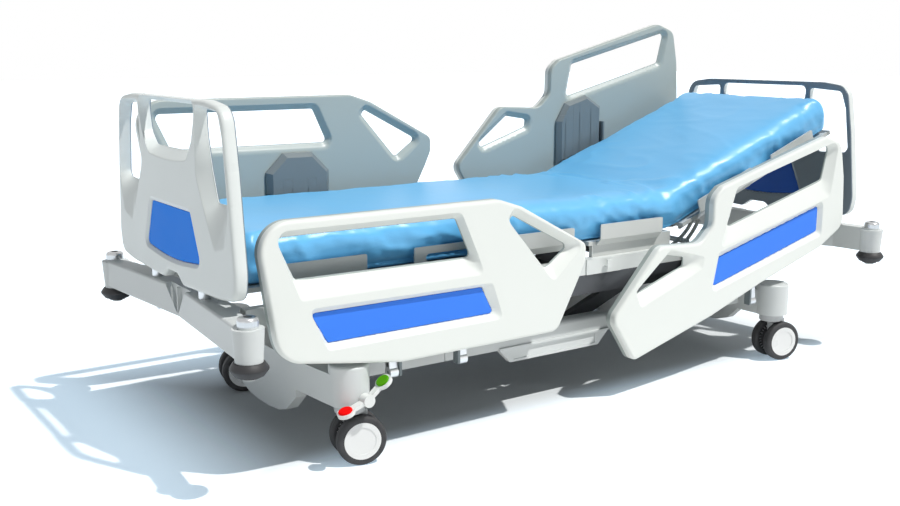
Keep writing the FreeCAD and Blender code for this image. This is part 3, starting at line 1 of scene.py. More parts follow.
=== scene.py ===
# %% [markdown]
# # A hospital bed
# This lesson dresses a measured model of an adjustable bed. The frame comes first: the model already
# knows every place, so each piece made here is drawn where the model says.

# %% Load the measured model
import bpy
import bmesh
import json
import math
import numpy as np
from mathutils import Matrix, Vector, noise
from mathutils.geometry import delaunay_2d_cdt

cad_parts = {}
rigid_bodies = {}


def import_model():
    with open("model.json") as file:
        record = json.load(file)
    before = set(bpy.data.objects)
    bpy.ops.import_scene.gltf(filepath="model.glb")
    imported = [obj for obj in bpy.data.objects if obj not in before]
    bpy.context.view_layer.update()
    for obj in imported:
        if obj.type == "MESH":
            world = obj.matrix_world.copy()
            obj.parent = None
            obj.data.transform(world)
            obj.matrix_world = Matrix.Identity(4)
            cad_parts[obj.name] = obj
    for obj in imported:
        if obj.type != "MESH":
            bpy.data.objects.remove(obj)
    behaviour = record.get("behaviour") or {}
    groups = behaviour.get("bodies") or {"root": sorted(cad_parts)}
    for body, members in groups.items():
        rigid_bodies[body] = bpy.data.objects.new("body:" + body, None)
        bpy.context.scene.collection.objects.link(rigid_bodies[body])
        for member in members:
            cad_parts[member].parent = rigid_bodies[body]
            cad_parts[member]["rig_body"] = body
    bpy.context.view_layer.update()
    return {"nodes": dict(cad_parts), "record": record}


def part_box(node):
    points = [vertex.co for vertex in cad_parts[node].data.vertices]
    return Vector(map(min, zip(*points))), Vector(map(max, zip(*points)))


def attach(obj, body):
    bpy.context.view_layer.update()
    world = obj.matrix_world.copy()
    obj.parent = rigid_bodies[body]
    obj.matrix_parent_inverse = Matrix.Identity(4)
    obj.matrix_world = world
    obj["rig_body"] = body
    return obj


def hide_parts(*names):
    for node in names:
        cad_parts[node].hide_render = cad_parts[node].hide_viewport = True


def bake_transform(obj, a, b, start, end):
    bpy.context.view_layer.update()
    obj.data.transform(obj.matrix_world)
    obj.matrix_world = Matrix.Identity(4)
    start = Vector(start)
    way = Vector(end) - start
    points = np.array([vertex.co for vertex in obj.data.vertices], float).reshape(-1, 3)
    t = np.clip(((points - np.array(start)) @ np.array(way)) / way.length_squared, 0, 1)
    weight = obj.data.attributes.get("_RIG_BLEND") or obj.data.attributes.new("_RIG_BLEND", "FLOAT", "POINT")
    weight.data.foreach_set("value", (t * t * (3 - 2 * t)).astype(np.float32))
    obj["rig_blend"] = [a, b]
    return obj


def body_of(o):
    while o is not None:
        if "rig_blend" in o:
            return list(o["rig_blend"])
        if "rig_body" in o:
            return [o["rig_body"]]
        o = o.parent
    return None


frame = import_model()

# %% [markdown]
# ## Camera
# The photograph was taken from the near foot corner, a little above the mattress. The lens and the
# place were worked out from the bed's own right angles.

# %% Place the camera
scene = bpy.context.scene


def placed(name, data):
    thing = bpy.data.objects.new(name, data)
    scene.collection.objects.link(thing)
    return thing


eye = bpy.data.cameras.new("eye")
eye.sensor_width = 36.0
eye.lens = 42.88
eye.clip_end = 60.0
eye_object = placed("eye", eye)
eye_object.location = (-2.0222, -2.5317, 1.0)
eye_object.rotation_euler = (math.radians(79.066), 0.0, math.radians(-34.661))
scene.camera = eye_object
scene.view_settings.view_transform = "Standard"
print("lens", eye.lens, "at", tuple(eye_object.location))

# %% [markdown]
# ## Light
# The shadow in the photograph falls away from the camera and to the left, so the main light stands
# high on the right. A lamp of the sun kind gives the same light everywhere, and a wide angle softens
# its shadow as a studio does. Two weaker ones, from the camera's side and from the left, lift the
# upright faces. Together with the sky they add up to about 1, the level at which a colour shows as it
# is written.

# %% Lamps
def far_lamp(name, towards, strength, softness, tint):
    lamp = bpy.data.lights.new(name, "SUN")
    lamp.energy = strength
    lamp.angle = math.radians(softness)
    lamp.color = tint
    placed(name, lamp).rotation_euler = Vector(towards).to_track_quat("Z", "Y").to_euler()


far_lamp("high_right", (0.296, -0.47, 1.0), 3.20, 1.4, (1.0, 0.985, 0.955))
far_lamp("front_fill", (0.45, -1.0, 0.25), 0.24, 35.0, (1.0, 0.99, 0.97))
far_lamp("left_fill", (-1.0, -0.35, 0.08), 0.17, 45.0, (0.96, 0.99, 1.0))
print("lamps", sorted(lamp.name for lamp in bpy.data.lights))

# %% [markdown]
# ## Words for shaders
# A material is arithmetic on positions. Wrapping a socket in a small class lets that arithmetic be
# written as it is thought, and one method makes every other node.

# %% The socket and paint classes
class Sock:
    def __init__(self, paint, socket):
        self.paint = paint
        self.socket = socket

    def __add__(self, other): return self.paint.sum("ADD", self, other)
    def __radd__(self, other): return self.paint.sum("ADD", other, self)
    def __sub__(self, other): return self.paint.sum("SUBTRACT", self, other)
    def __rsub__(self, other): return self.paint.sum("SUBTRACT", other, self)
    def __mul__(self, other): return self.paint.sum("MULTIPLY", self, other)


class Paint:
    def __init__(self, name, holder=None, shader="Principled BSDF"):
        self.material = holder or bpy.data.materials.new(name)
        self.material.use_nodes = True
        self.tree = self.material.node_tree
        self.shader = self.tree.nodes[shader]

    def put(self, socket, value):
        if isinstance(value, Sock):
            self.tree.links.new(value.socket, socket)
        else:
            socket.default_value = value

    def node(self, kind, settings=None, inputs=None, output=0):
        made = self.tree.nodes.new(kind)
        for key, value in (settings or {}).items():
            if key == "stops":
                ramp = made.color_ramp
                while len(ramp.elements) < len(value):
                    ramp.elements.new(0.5)
                for element, (place, colour) in zip(ramp.elements, value):
                    element.position = place
                    element.color = (*colour, 1.0)
            else:
                setattr(made, key, value)
        for key, value in (inputs or {}).items():
            self.put(made.inputs[key], value)
        return Sock(self, made.outputs[output])

    def sum(self, operation, *values):
        return self.node("ShaderNodeMath", {"operation": operation}, dict(enumerate(values)))

    def place(self):
        return self.node("ShaderNodeTexCoord", output="Object")

    def along(self, axis):
        return self.node("ShaderNodeSeparateXYZ", None, {0: self.place()}, axis)

    def noise(self, scale, detail=3.0, stretch=None, roughness=0.5):
        where = self.place()
        if stretch:
            where = self.node("ShaderNodeMapping", None, {"Vector": where, "Scale": stretch})
        return self.node("ShaderNodeTexNoise", None, {"Vector": where, "Scale": scale, "Detail": detail,
                                                      "Roughness": roughness})

    def ramp(self, factor, stops):
        return self.node("ShaderNodeValToRGB", {"stops": stops}, {"Fac": factor})

    def blend(self, factor, first, second):
        return self.node("ShaderNodeMix", {"data_type": "RGBA"},
                         {"Factor": factor, 6: first, 7: second}, output=2)

    def bump(self, height, strength, distance):
        return self.node("ShaderNodeBump", None, {"Height": height, "Strength": strength,
                                                  "Distance": distance})

    def set(self, **values):
        for key, value in values.items():
            self.put(self.shader.inputs[key.replace("_", " ")], value)
        return self.material


print("socket words ready")

# %% [markdown]
# ## Finishes
# The mouldings are a satin plastic: almost even in colour, with a very fine grain and a slightly
# uneven polish. The tints were taken as light colours with a trace of green, so that the lamps can
# still shade them. A board or a rail has a darker inner face, parted from the outer one at a seam.

# %% Moulded plastics
CLOUDS, SMEARS, GRAIN = 3.2, 11.0, 900.0


def shade_of(colour, change):
    return tuple(min(1.0, channel * change) for channel in colour) + (1.0,)


def uneven_polish(paint, rough):
    return rough + (paint.noise(SMEARS, 4.0) - 0.5) * 0.12


def moulded(name, colour, rough, grain=0.25, shine=0.5):
    paint = Paint(name)
    paint.shader.inputs["Specular IOR Level"].default_value = shine
    tint = paint.blend(paint.noise(CLOUDS, 2.0), shade_of(colour, 0.97), shade_of(colour, 1.03))
    return paint.set(Base_Color=tint, Roughness=uneven_polish(paint, rough),
                     Normal=paint.bump(paint.noise(GRAIN, 2.0), grain, 0.0001))


def two_shells(name, outer, inner, axis, seam, rough):
    paint = Paint(name)
    is_outer = paint.sum("GREATER_THAN", paint.sum("ABSOLUTE", paint.along(axis)), seam)
    colour = paint.blend(is_outer, (*inner, 1.0), (*outer, 1.0))
    tint = paint.node("ShaderNodeMix", {"data_type": "RGBA", "blend_type": "MULTIPLY"},
                      {"Factor": paint.noise(CLOUDS, 2.0) * 0.12, 6: colour, 7: (0.8, 0.8, 0.8, 1.0)},
                      output=2)
    return paint.set(Base_Color=tint, Roughness=uneven_polish(paint, rough),
                     Normal=paint.bump(paint.noise(GRAIN, 2.0), 0.25, 0.0001))


finish = {
    "rail_shells": two_shells("rail_shells", (0.83, 0.86, 0.83), (0.42, 0.475, 0.46), 1, 0.378, 0.38),
    "board_shells": two_shells("board_shells", (0.76, 0.80, 0.79), (0.20, 0.25, 0.30), 0, 1.0815, 0.38),
    "board_white": moulded("board_white", (0.80, 0.83, 0.81), 0.38),
    "insert_blue": moulded("insert_blue", (0.050, 0.23, 0.93), 0.40, 0.12, 0.2),
    # Painted shade copy: the insert on the board's outer face stands in shade, so it gets a purer, fuller
    # blue with less shine than the lit insert.
    "insert_shaded": moulded("insert_shaded", (0.012, 0.25, 1.0), 0.45, 0.12, 0.05),
    # Painted shade: the inner face of each board panel looks into the shaded space by the mattress, so its
    # blue is painted darker.
    "insert_painted_shade": moulded("insert_painted_shade", (0.022, 0.11, 0.50), 0.40, 0.12, 0.2),
    "cover_grey": moulded("cover_grey", (0.66, 0.69, 0.69), 0.42),
    "castor_grey": moulded("castor_grey", (0.50, 0.52, 0.53), 0.40),
    "hub_white": moulded("hub_white", (0.82, 0.83, 0.83), 0.28),
    "pedal_white": moulded("pedal_white", (0.78, 0.80, 0.79), 0.30),
    "pad_red": moulded("pad_red", (0.95, 0.000, 0.000), 0.60, 0.6, 0.1),
    "pad_green": moulded("pad_green", (0.085, 0.34, 0.004), 0.60, 0.6, 0.1),
    "cap_grey": moulded("cap_grey", (0.18, 0.215, 0.23), 0.36),
    "deck_grey": moulded("deck_grey", (0.58, 0.60, 0.585), 0.40),
    "motor_black": moulded("motor_black", (0.03, 0.03, 0.035), 0.45),
    "bumper_black": moulded("bumper_black", (0.018, 0.018, 0.020), 0.55, 0.5),
}
print("moulded finishes", sorted(finish))

# %% [markdown]
# Painted steel has a faint orange-peel ripple from spraying, and plated steel shows fine lines from
# polishing. The corner posts are painted and wear plated caps. The tyre is grey rubber, dusty where it
# runs.

# %% Metals and rubber
def sprayed(name, colour, rough):
    paint = Paint(name)
    ripple = paint.noise(260.0, 2.0)
    cloudy = paint.noise(5.0, 3.0)
    tint = paint.blend(cloudy, shade_of(colour, 0.94), shade_of(colour, 1.05))
    return paint.set(Base_Color=tint, Roughness=rough + (cloudy - 0.5) * 0.1, Metallic=0.0,
                     Coat_Weight=0.25, Coat_Roughness=0.2, Normal=paint.bump(ripple, 0.25, 0.0002))


def plated(name, colour, rough):
    paint = Paint(name)
    lines = paint.noise(60.0, 3.0, (1.0, 1.0, 30.0))
    tint = paint.blend(lines, shade_of(colour, 0.9), shade_of(colour, 1.06))
    return paint.set(Base_Color=tint, Metallic=1.0, Roughness=rough + lines * 0.12,
                     Normal=paint.bump(lines, 0.15, 0.0002))


def sprayed_with_caps(name, colour, rough, seam):
    paint = Paint(name)
    capped = paint.sum("GREATER_THAN", paint.along(2), seam)
    ripple = paint.noise(260.0, 2.0)
    tint = paint.blend(capped, (*colour, 1.0), (0.50, 0.51, 0.52, 1.0))
    return paint.set(Base_Color=tint, Roughness=rough - capped * 0.16 + ripple * 0.04,
                     Metallic=capped, Normal=paint.bump(ripple, 0.2, 0.0002))


def rubbery(name, colour):
    paint = Paint(name)
    dust = paint.noise(45.0, 5.0)
    tint = paint.ramp(dust, [(0.35, colour), (0.8, tuple(c * 1.9 for c in colour))])
    return paint.set(Base_Color=tint, Roughness=0.62 + dust * 0.15,
                     Normal=paint.bump(paint.noise(500.0), 0.4, 0.0003))


finish["frame_light"] = sprayed("frame_light", (0.72, 0.75, 0.74), 0.36)
finish["frame_dark"] = sprayed("frame_dark", (0.045, 0.048, 0.055), 0.42)
finish["arm_steel"] = plated("arm_steel", (0.62, 0.63, 0.64), 0.28)
finish["tyre_grey"] = rubbery("tyre_grey", (0.028, 0.028, 0.030))
finish["end_posts"] = sprayed_with_caps("end_posts", (0.66, 0.69, 0.69), 0.42, 0.4105)
print("metals and rubber ready")

# %% [markdown]
# The mattress cover is a coated, slightly stretchy cloth: a fine knit under a soft sheen, with wide
# pale and deep patches where the cloth is tighter or looser.

# %% Coated mattress cloth
def coated_cloth(name, colour):
    paint = Paint(name)
    patches = paint.noise(2.6, 3.0)
    knit = paint.node("ShaderNodeTexVoronoi", {"feature": "F1"},
                      {"Vector": paint.place(), "Scale": 420.0})
    tint = paint.blend(patches, shade_of(colour, 0.92), shade_of(colour, 1.08))
    creases = paint.noise(26.0, 4.0, (1.0, 0.55, 1.4))
    height = creases * 0.8 + knit * 0.12
    paint.shader.inputs["Specular IOR Level"].default_value = 0.50
    return paint.set(Base_Color=tint, Roughness=0.29 + patches * 0.12,
                     Normal=paint.bump(height, 0.35, 0.0025))


finish["mattress_blue"] = coated_cloth("mattress_blue", (0.152, 0.525, 0.905))
print("finishes", len(finish))

# %% [markdown]
# A piece of the measured model that is shown as it is gets the finish that its slot names.

# %% Give every carried-over node its finish
for node, slot in ((part["node"], part["material_slot"]) for part in frame["record"]["subparts"]):
    body = bpy.data.objects[node]
    body.data.materials.clear()
    body.data.materials.append(finish["end_posts" if node == "end_crossbeams" else slot])

# %% [markdown]
# ## Sculpted mouldings
# The boards and the rails are blow-moulded: a hollow plate whose face sinks towards its windows in
# broad slopes, with soft rims. Such a face is a height over a flat outline. So the outline is filled
# with an even net of points, extra points follow every rim, and each point then gets its height from
# its distance to the rims, windows and creases.

# %% Outlines with rounded corners
def rounded(points, step=0.006):
    loop = []
    count = len(points)
    spans = []
    for index, (u, v, radius) in enumerate(points):
        corner = np.array((u, v))
        before = np.array(points[index - 1][:2]) - corner
        after = np.array(points[(index + 1) % count][:2]) - corner
        before = before / np.linalg.norm(before)
        after = after / np.linalg.norm(after)
        half_angle = math.acos(max(-1.0, min(1.0, float(before @ after)))) / 2
        reach = radius / math.tan(half_angle)
        inward = (before + after) / np.linalg.norm(before + after)
        centre = corner + inward * (radius / math.sin(half_angle))
        spans.append((corner + before * reach, corner + after * reach, centre, radius))
    for index, (first, last, centre, radius) in enumerate(spans):
        start = math.atan2(*(first - centre)[::-1])
        turn = math.atan2(*(last - centre)[::-1]) - start
        turn = (turn + math.pi) % (2 * math.pi) - math.pi
        steps = max(3, int(abs(turn) * radius / step))
        for k in range(steps + 1):
            angle = start + turn * k / steps
            loop.append(centre + radius * np.array((math.cos(angle), math.sin(angle))))
        following = spans[(index + 1) % count][0]
        length = np.linalg.norm(following - last)
        for k in range(1, int(length / step)):
            loop.append(last + (following - last) * k / int(length / step))
    return np.array(loop)


def from_shares(shares, u, v, length, height):
    return [(u + a * length, v + b * height, r * height) for a, b, r in shares]


# %% Distances to outlines
def distance(points, loop):
    best = np.full(len(points), 1e9)
    for a, b in zip(loop, np.roll(loop, -1, axis=0)):
        along = b - a
        span = float(along @ along)
        if span < 1e-14:
            continue
        share = np.clip(((points - a) @ along) / span, 0, 1)
        gap = points - (a + share[:, None] * along)
        best = np.minimum(best, (gap ** 2).sum(1))
    return np.sqrt(best)


def inside(points, loop):
    hit = np.zeros(len(points), bool)
    for (ua, va), (ub, vb) in zip(loop, np.roll(loop, -1, axis=0)):
        crosses = (va > points[:, 1]) != (vb > points[:, 1])
        with np.errstate(divide="ignore", invalid="ignore"):
            at = (ub - ua) * (points[:, 1] - va) / (vb - va) + ua
        hit ^= crosses & (points[:, 0] < at)
    return hit


def offset_points(loop, gap):
    ahead = np.roll(loop, -1, axis=0) - np.roll(loop, 1, axis=0)
    normal = np.stack([-ahead[:, 1], ahead[:, 0]], 1)
    normal /= np.linalg.norm(normal, axis=1)[:, None] + 1e-12
    return loop + normal * gap


# %% Profiles of rims and slopes
def rim_drop(gap, radius):
    near = np.clip(gap, 0, radius)
    return radius - np.sqrt(np.maximum(radius ** 2 - (radius - near) ** 2, 0))


def eased(share, soft=0.14):
    share = np.clip(share, 0, 1)
    gain = 1 / (1 - soft)
    low = gain * share ** 2 / (2 * soft)
    mid = gain * (share - soft / 2)
    high = 1 - gain * (1 - share) ** 2 / (2 * soft)
    return np.where(share < soft, low, np.where(share > 1 - soft, high, mid))


def funnel(points, front, back, depth, soft=0.12):
    within = inside(points, front)
    to_front = distance(points, front)
    to_back = np.where(inside(points, back), 0, distance(points, back))
    share = np.where(within, to_front / (to_front + to_back + 1e-9), 0)
    return depth * eased(share, soft)


# %% Fill an outline and raise both faces
ROW_RISE, SAME_PLACE, NO_AREA = 0.87, 0.0011, 1e-8


def outside(points, holes):
    return ~np.any([inside(points, hole) for hole in holes], axis=0) if holes else True


def sculpt(outline, holes, creases, front, back, spacing=0.008, rims=(0.0012, 0.003, 0.0055, 0.009)):
    loops = [outline] + holes + creases
    points, edges = [], []
    for loop in loops:
        base = len(points)
        points += [tuple(p) for p in loop]
        edges += [(base + k, base + (k + 1) % len(loop)) for k in range(len(loop))]
    extra = []
    for loop in loops:
        for gap in rims:
            extra.append(offset_points(loop, gap))
            extra.append(offset_points(loop, -gap))
    low, high = outline.min(0), outline.max(0)
    us = np.arange(low[0], high[0], spacing)
    vs = np.arange(low[1], high[1], spacing * ROW_RISE)
    net = np.array([(u + (spacing / 2 if row % 2 else 0), v) for row, v in enumerate(vs) for u in us])
    clear = np.min([distance(net, loop) for loop in loops], axis=0)
    extra.append(net[clear > rims[-1] + spacing * 0.5])
    loose = np.concatenate(extra)
    keep = inside(loose, outline) & outside(loose, holes)
    keep &= np.min([distance(loose, loop) for loop in loops], axis=0) > rims[0] * 0.8
    cells = {}
    for p in loose[keep]:
        cells.setdefault((round(p[0] / SAME_PLACE), round(p[1] / SAME_PLACE)), tuple(p))
    points += cells.values()
    verts, _, faces, *_ = delaunay_2d_cdt([Vector(p) for p in points], edges, [], 0, 1e-6)
    flat = np.array([tuple(v) for v in verts])
    tris = np.array([f for f in faces if len(f) == 3])
    middle = flat[tris].mean(1)
    first, second = flat[tris[:, 1]] - flat[tris[:, 0]], flat[tris[:, 2]] - flat[tris[:, 0]]
    area = first[:, 0] * second[:, 1] - first[:, 1] * second[:, 0]
    tris = tris[inside(middle, outline) & outside(middle, holes) & (area > NO_AREA)]
    used = np.unique(tris)
    renumber = np.full(len(flat), -1)
    renumber[used] = np.arange(len(used))
    flat, tris = flat[used], renumber[tris]
    sides = dict.fromkeys(pair for a, b, c in tris for pair in ((a, b), (b, c), (c, a)))
    walls = [(a, b) for a, b in sides if (b, a) not in sides]
    return flat, tris, walls, front(flat), back(flat)


def as_mesh(name, made, place):
    flat, tris, walls, high, low = made
    count = len(flat)
    verts = [place(u, v, w) for (u, v), w in zip(flat, high)] + \
            [place(u, v, w) for (u, v), w in zip(flat, low)]
    faces = [tuple(int(i) for i in t) for t in tris]
    faces += [tuple(int(i) + count for i in t[::-1]) for t in tris]
    faces += [(int(b), int(a), int(a) + count, int(b) + count) for a, b in walls]
    mesh = bpy.data.meshes.new(name)
    mesh.from_pydata(verts, [], faces)
    work = bmesh.new()
    work.from_mesh(mesh)
    if work.calc_volume(signed=True) < 0:
        bmesh.ops.reverse_faces(work, faces=work.faces)
    work.to_mesh(mesh)
    work.free()
    mesh.shade_smooth()
    mesh.set_sharp_from_angle(angle=math.radians(38))
    print(name, len(mesh.polygons), "faces")
    return placed(name, mesh)

# %% [markdown]
# ## Side rails
# Each rail is one hollow moulding with a grip window, a small window in its nose and a blue panel let
# into its face. The windows open through broad slopes, widest along the sill. The foot rails and the
# head rails differ in outline only, so one recipe serves both. The far rails are the same mouldings,
# turned to the other side and lifted to where they latch.

# %% Outlines of the foot rail
RAIL_INNER, RAIL_OUTER = 0.360, 0.400
foot_rail = {
    "frame": (-1.052, 0.243, 0.954, 0.3755), "drop": 0.235, "shift": (-0.008, 0.003),
    "body": [(0.000, 1.000, 0.190), (0.001, 0.791, 0.266), (0.031, 0.285, 0.186),
             (0.048, 0.130, 0.200), (0.239, 0.053, 0.213), (0.382, 0.000, 0.213),
             (0.898, 0.007, 0.091), (0.978, 0.383, 0.240), (1.000, 0.503, 0.080),
             (1.000, 0.621, 0.064), (0.767, 0.937, 0.160), (0.692, 1.000, 0.160)],
    "windows": [([(0.032, 0.945, 0.069), (0.099, 0.498, 0.037), (0.645, 0.498, 0.037),
                  (0.565, 0.945, 0.048)],
                 [(0.055, 0.889, 0.032), (0.103, 0.623, 0.027), (0.618, 0.618, 0.027),
                  (0.569, 0.889, 0.027)]),
                ([(0.739, 0.943, 0.032), (0.714, 0.860, 0.032), (0.881, 0.370, 0.048),
                  (0.991, 0.615, 0.043)],
                 [(0.757, 0.866, 0.021), (0.745, 0.828, 0.021), (0.872, 0.461, 0.032),
                  (0.953, 0.605, 0.027)])],
    "panel": ([(0.119, 0.450, 0.032), (0.669, 0.439, 0.032), (0.706, 0.170, 0.032),
               (0.170, 0.162, 0.032)],
              [(0.128, 0.413, 0.021), (0.639, 0.413, 0.021), (0.679, 0.216, 0.021),
               (0.174, 0.208, 0.021)])}

# %% Outlines of the head rail
head_rail = {
    "frame": (0.005, 0.118, 1.023, 0.600), "drop": 0.362, "shift": (-0.012, 0.003),
    "body": [(0.388, 0.737, 0.083), (0.425, 0.787, 0.050), (0.890, 0.998, 0.067),
             (0.967, 0.953, 0.060), (0.990, 0.770, 0.133), (1.001, 0.500, 0.083),
             (0.888, 0.398, 0.100), (0.611, 0.258, 0.133), (0.397, 0.135, 0.100),
             (0.085, -0.010, 0.040), (0.000, 0.212, 0.057), (0.177, 0.532, 0.067),
             (0.337, 0.517, 0.083), (0.388, 0.595, 0.067)],
    "windows": [([(0.482, 0.778, 0.030), (0.953, 0.975, 0.043), (0.924, 0.670, 0.030),
                  (0.417, 0.470, 0.023)],
                 [(0.500, 0.757, 0.017), (0.939, 0.943, 0.020), (0.910, 0.758, 0.020),
                  (0.476, 0.570, 0.017)]),
                ([(0.085, 0.333, 0.023), (0.216, 0.510, 0.027), (0.359, 0.450, 0.017),
                  (0.351, 0.387, 0.017), (0.105, 0.243, 0.023)],
                 [(0.105, 0.327, 0.013), (0.218, 0.473, 0.017), (0.300, 0.450, 0.013),
                  (0.298, 0.407, 0.013), (0.118, 0.307, 0.013)])],
    "panel": ([(0.417, 0.460, 0.020), (0.891, 0.655, 0.023), (0.891, 0.463, 0.020),
               (0.390, 0.253, 0.023)],
              [(0.428, 0.433, 0.013), (0.878, 0.625, 0.013), (0.878, 0.487, 0.013),
               (0.405, 0.282, 0.013)])}

# %% Sculpt a rail and its blue panel
RAIL_RIM, RAIL_BACK_RIM, RAIL_SLOPE, RAIL_SOFT = 0.008, 0.005, 0.023, 0.06
BACK_DIP, BACK_REACH = 0.014, 0.018
PANEL_STEP, PANEL_FLOOR, PANEL_SEAM = 0.012, 0.018, 0.0011
PLATE_FACE, PLATE_RIM, PLATE_RIMS = 0.0115, 0.0012, (0.0006, 0.0012)


def rail_loops(spec):
    def loop(shares):
        return rounded(from_shares(shares, *spec["frame"]))
    windows = [(loop(front), loop(back) + np.array(spec["shift"])) for front, back in spec["windows"]]
    return loop(spec["body"]), windows, tuple(loop(shares) for shares in spec["panel"])


def rail_shapes(spec):
    outline, windows, (panel_front, panel_back) = rail_loops(spec)

    def front(points):
        depth = rim_drop(distance(points, outline), RAIL_RIM)
        for wide, hole in windows:
            depth = np.maximum(depth, funnel(points, wide, hole, RAIL_SLOPE, RAIL_SOFT))
        depth = np.maximum(depth, funnel(points, panel_front, panel_back, PANEL_STEP, RAIL_SOFT))
        return depth + np.where(inside(points, panel_back), PANEL_FLOOR - PANEL_STEP, 0)

    def back(points):
        lost = rim_drop(distance(points, outline), RAIL_BACK_RIM)
        for wide, hole in windows:
            lost = np.maximum(lost, BACK_DIP * eased(1 - distance(points, hole) / BACK_REACH))
        return RAIL_OUTER - RAIL_INNER - lost

    creases = [wide for wide, hole in windows] + [panel_front, panel_back]
    shell = sculpt(outline, [hole for wide, hole in windows], creases, front, back,
                   rims=(0.0008, 0.0022, 0.0042, 0.0065, 0.0095, 0.0130))
    inset = offset_points(panel_back, PANEL_SEAM if turns_left(panel_back) else -PANEL_SEAM)

    def panel_face(points):
        return PLATE_FACE + rim_drop(distance(points, inset), PLATE_RIM)

    plate = sculpt(inset, [], [], panel_face, lambda points: np.full(len(points), PANEL_FLOOR),
                   spacing=0.02, rims=PLATE_RIMS)
    return shell, plate


def turns_left(loop):
    ahead = np.roll(loop, -1, axis=0)
    return float((loop[:, 0] * ahead[:, 1] - ahead[:, 0] * loop[:, 1]).sum()) > 0


def finish_piece(piece, slot, body, *nodes, look=None):
    piece.data.materials.append(finish[look or slot])
    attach(piece, body)
    if nodes:
        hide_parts(*nodes)
    return piece


# %% Make the four rails
for end, spec in (("foot", foot_rail), ("head", head_rail)):
    shell, plate = rail_shapes(spec)
    for side, sign, lift in (("near", -1, 0.0), ("far", 1, spec["drop"])):
        def outer_face(u, v, depth, sign=sign, lift=lift):
            return (u, sign * (RAIL_OUTER - depth), v + lift)
        tag = end + "_" + side
        finish_piece(as_mesh("rail_moulding_" + tag, shell, outer_face), "board_white",
                     "rail_" + tag, "rail_" + tag, look="rail_shells")
        finish_piece(as_mesh("rail_panel_" + tag, plate, outer_face), "insert_blue",
                     "rail_" + tag, "rail_insert_" + tag)

# %% [markdown]
# ## Head and foot boards
# The board's outer face is the most sculpted of all: a grip window in the middle whose sill slopes
# outwards, and a tall slot at each side with a shallow scoop below it. All of them are heights over one
# outline, like the rails.

# %% Outline and windows of a board
BOARD_FRAME = (0.0, 0.424, 0.390, 0.469)
BOARD_OUTER, BOARD_THICK = 1.110, 0.032
BOARD_RIM, BOARD_BACK_RIM, BOARD_SLOPE, BOARD_SOFT = 0.009, 0.003, 0.027, 0.07
POCKET_WIDE, POCKET_STEP, POCKET_DEEP = 0.010, 0.006, 0.008
board_edge = [(0.641, 0.974, 0.426), (0.885, 0.947, 0.107), (0.944, 0.638, 0.640),
              (1.003, 0.170, 0.256), (0.974, 0.045, 0.085), (0.744, 0.021, 0.213),
              (0.175, 0.004, 0.032), (0.080, 0.055, 0.034)]
grip_front = [(0.472, 0.974, 0.050), (0.489, 0.905, 0.150), (0.426, 0.770, 0.070), (0.326, 0.664, 0.060)]
grip_floor = [(0.000, 0.640, 2.000)]
grip_back = [(0.450, 0.944, 0.036), (0.464, 0.895, 0.100), (0.430, 0.775, 0.060), (0.333, 0.706, 0.045)]
slot_front = [(0.494, 0.953, 0.036), (0.836, 0.934, 0.050), (0.887, 0.812, 0.200), (0.933, 0.480, 0.200),
              (0.882, 0.285, 0.060), (0.708, 0.247, 0.030), (0.466, 0.600, 0.120)]
slot_back = [(0.505, 0.930, 0.024), (0.822, 0.913, 0.040), (0.874, 0.800, 0.150), (0.920, 0.520, 0.020),
             (0.895, 0.488, 0.024), (0.640, 0.480, 0.018), (0.568, 0.640, 0.100), (0.515, 0.800, 0.200)]
insert_edge = [(0.335, 0.407, 0.020), (0.470, 0.155, 0.030)]
insert_dip = [(0.000, 0.118, 2.000)]


def half_loop(shares, side):
    return from_shares([(side * a, b, r) for a, b, r in shares], *BOARD_FRAME)


def board_loop(shares, middle=()):
    return rounded(half_loop(shares, 1) + half_loop(middle, 1) + half_loop(shares, -1)[::-1])


# %% Sculpt the board
outline = board_loop(board_edge)
grip = (board_loop(grip_front, grip_floor), board_loop(grip_back))
slots = [tuple(rounded(half_loop(shares, side)) for shares in (slot_front, slot_back))
         for side in (1, -1)]
panel_loop = board_loop(insert_edge, insert_dip)
outward = -1 if turns_left(panel_loop) else 1
panel_wide = offset_points(panel_loop, POCKET_WIDE * outward)


def board_front(points):
    depth = rim_drop(distance(points, outline), BOARD_RIM)
    for wide, hole in [grip] + slots:
        depth = np.maximum(depth, funnel(points, wide, hole, BOARD_SLOPE, BOARD_SOFT))
    depth = np.maximum(depth, funnel(points, panel_wide, panel_loop, POCKET_STEP))
    return depth + np.where(inside(points, panel_loop), POCKET_DEEP, 0)


def board_back(points):
    lost = rim_drop(distance(points, outline), BOARD_BACK_RIM)
    for wide, hole in [grip] + slots:
        lost = np.maximum(lost, rim_drop(distance(points, hole), 0.004))
    pocket = funnel(points, panel_wide, panel_loop, POCKET_STEP / 2)
    pocket = pocket + np.where(inside(points, panel_loop), POCKET_DEEP, 0)
    return BOARD_THICK - np.maximum(lost, pocket)


holes = [grip[1]] + [hole for wide, hole in slots]
creases = [grip[0]] + [wide for wide, hole in slots] + [panel_wide, panel_loop]
board_shell = sculpt(outline, holes, creases, board_front, board_back, spacing=0.0065)
panel_inset = offset_points(panel_loop, -PANEL_SEAM * outward)


def board_panel(depth):
    def face(points):
        return depth + rim_drop(distance(points, panel_inset), PLATE_RIM)
    return sculpt(panel_inset, [], [], face, lambda points: np.full(len(points), depth + 0.0075),
                  spacing=0.02, rims=PLATE_RIMS)


panels = [board_panel(POCKET_STEP), board_panel(POCKET_STEP / 2)]
print("board", len(board_shell[0]), "points a face")

# %% Stand both boards
STUD_X, STUD_Y = 1.090, 0.1595
STUD_RINGS = [(0.322, 0.0065), (0.326, 0.009), (0.410, 0.009), (0.410, 0.0145), (0.412, 0.0150),
              (0.440, 0.0150)]


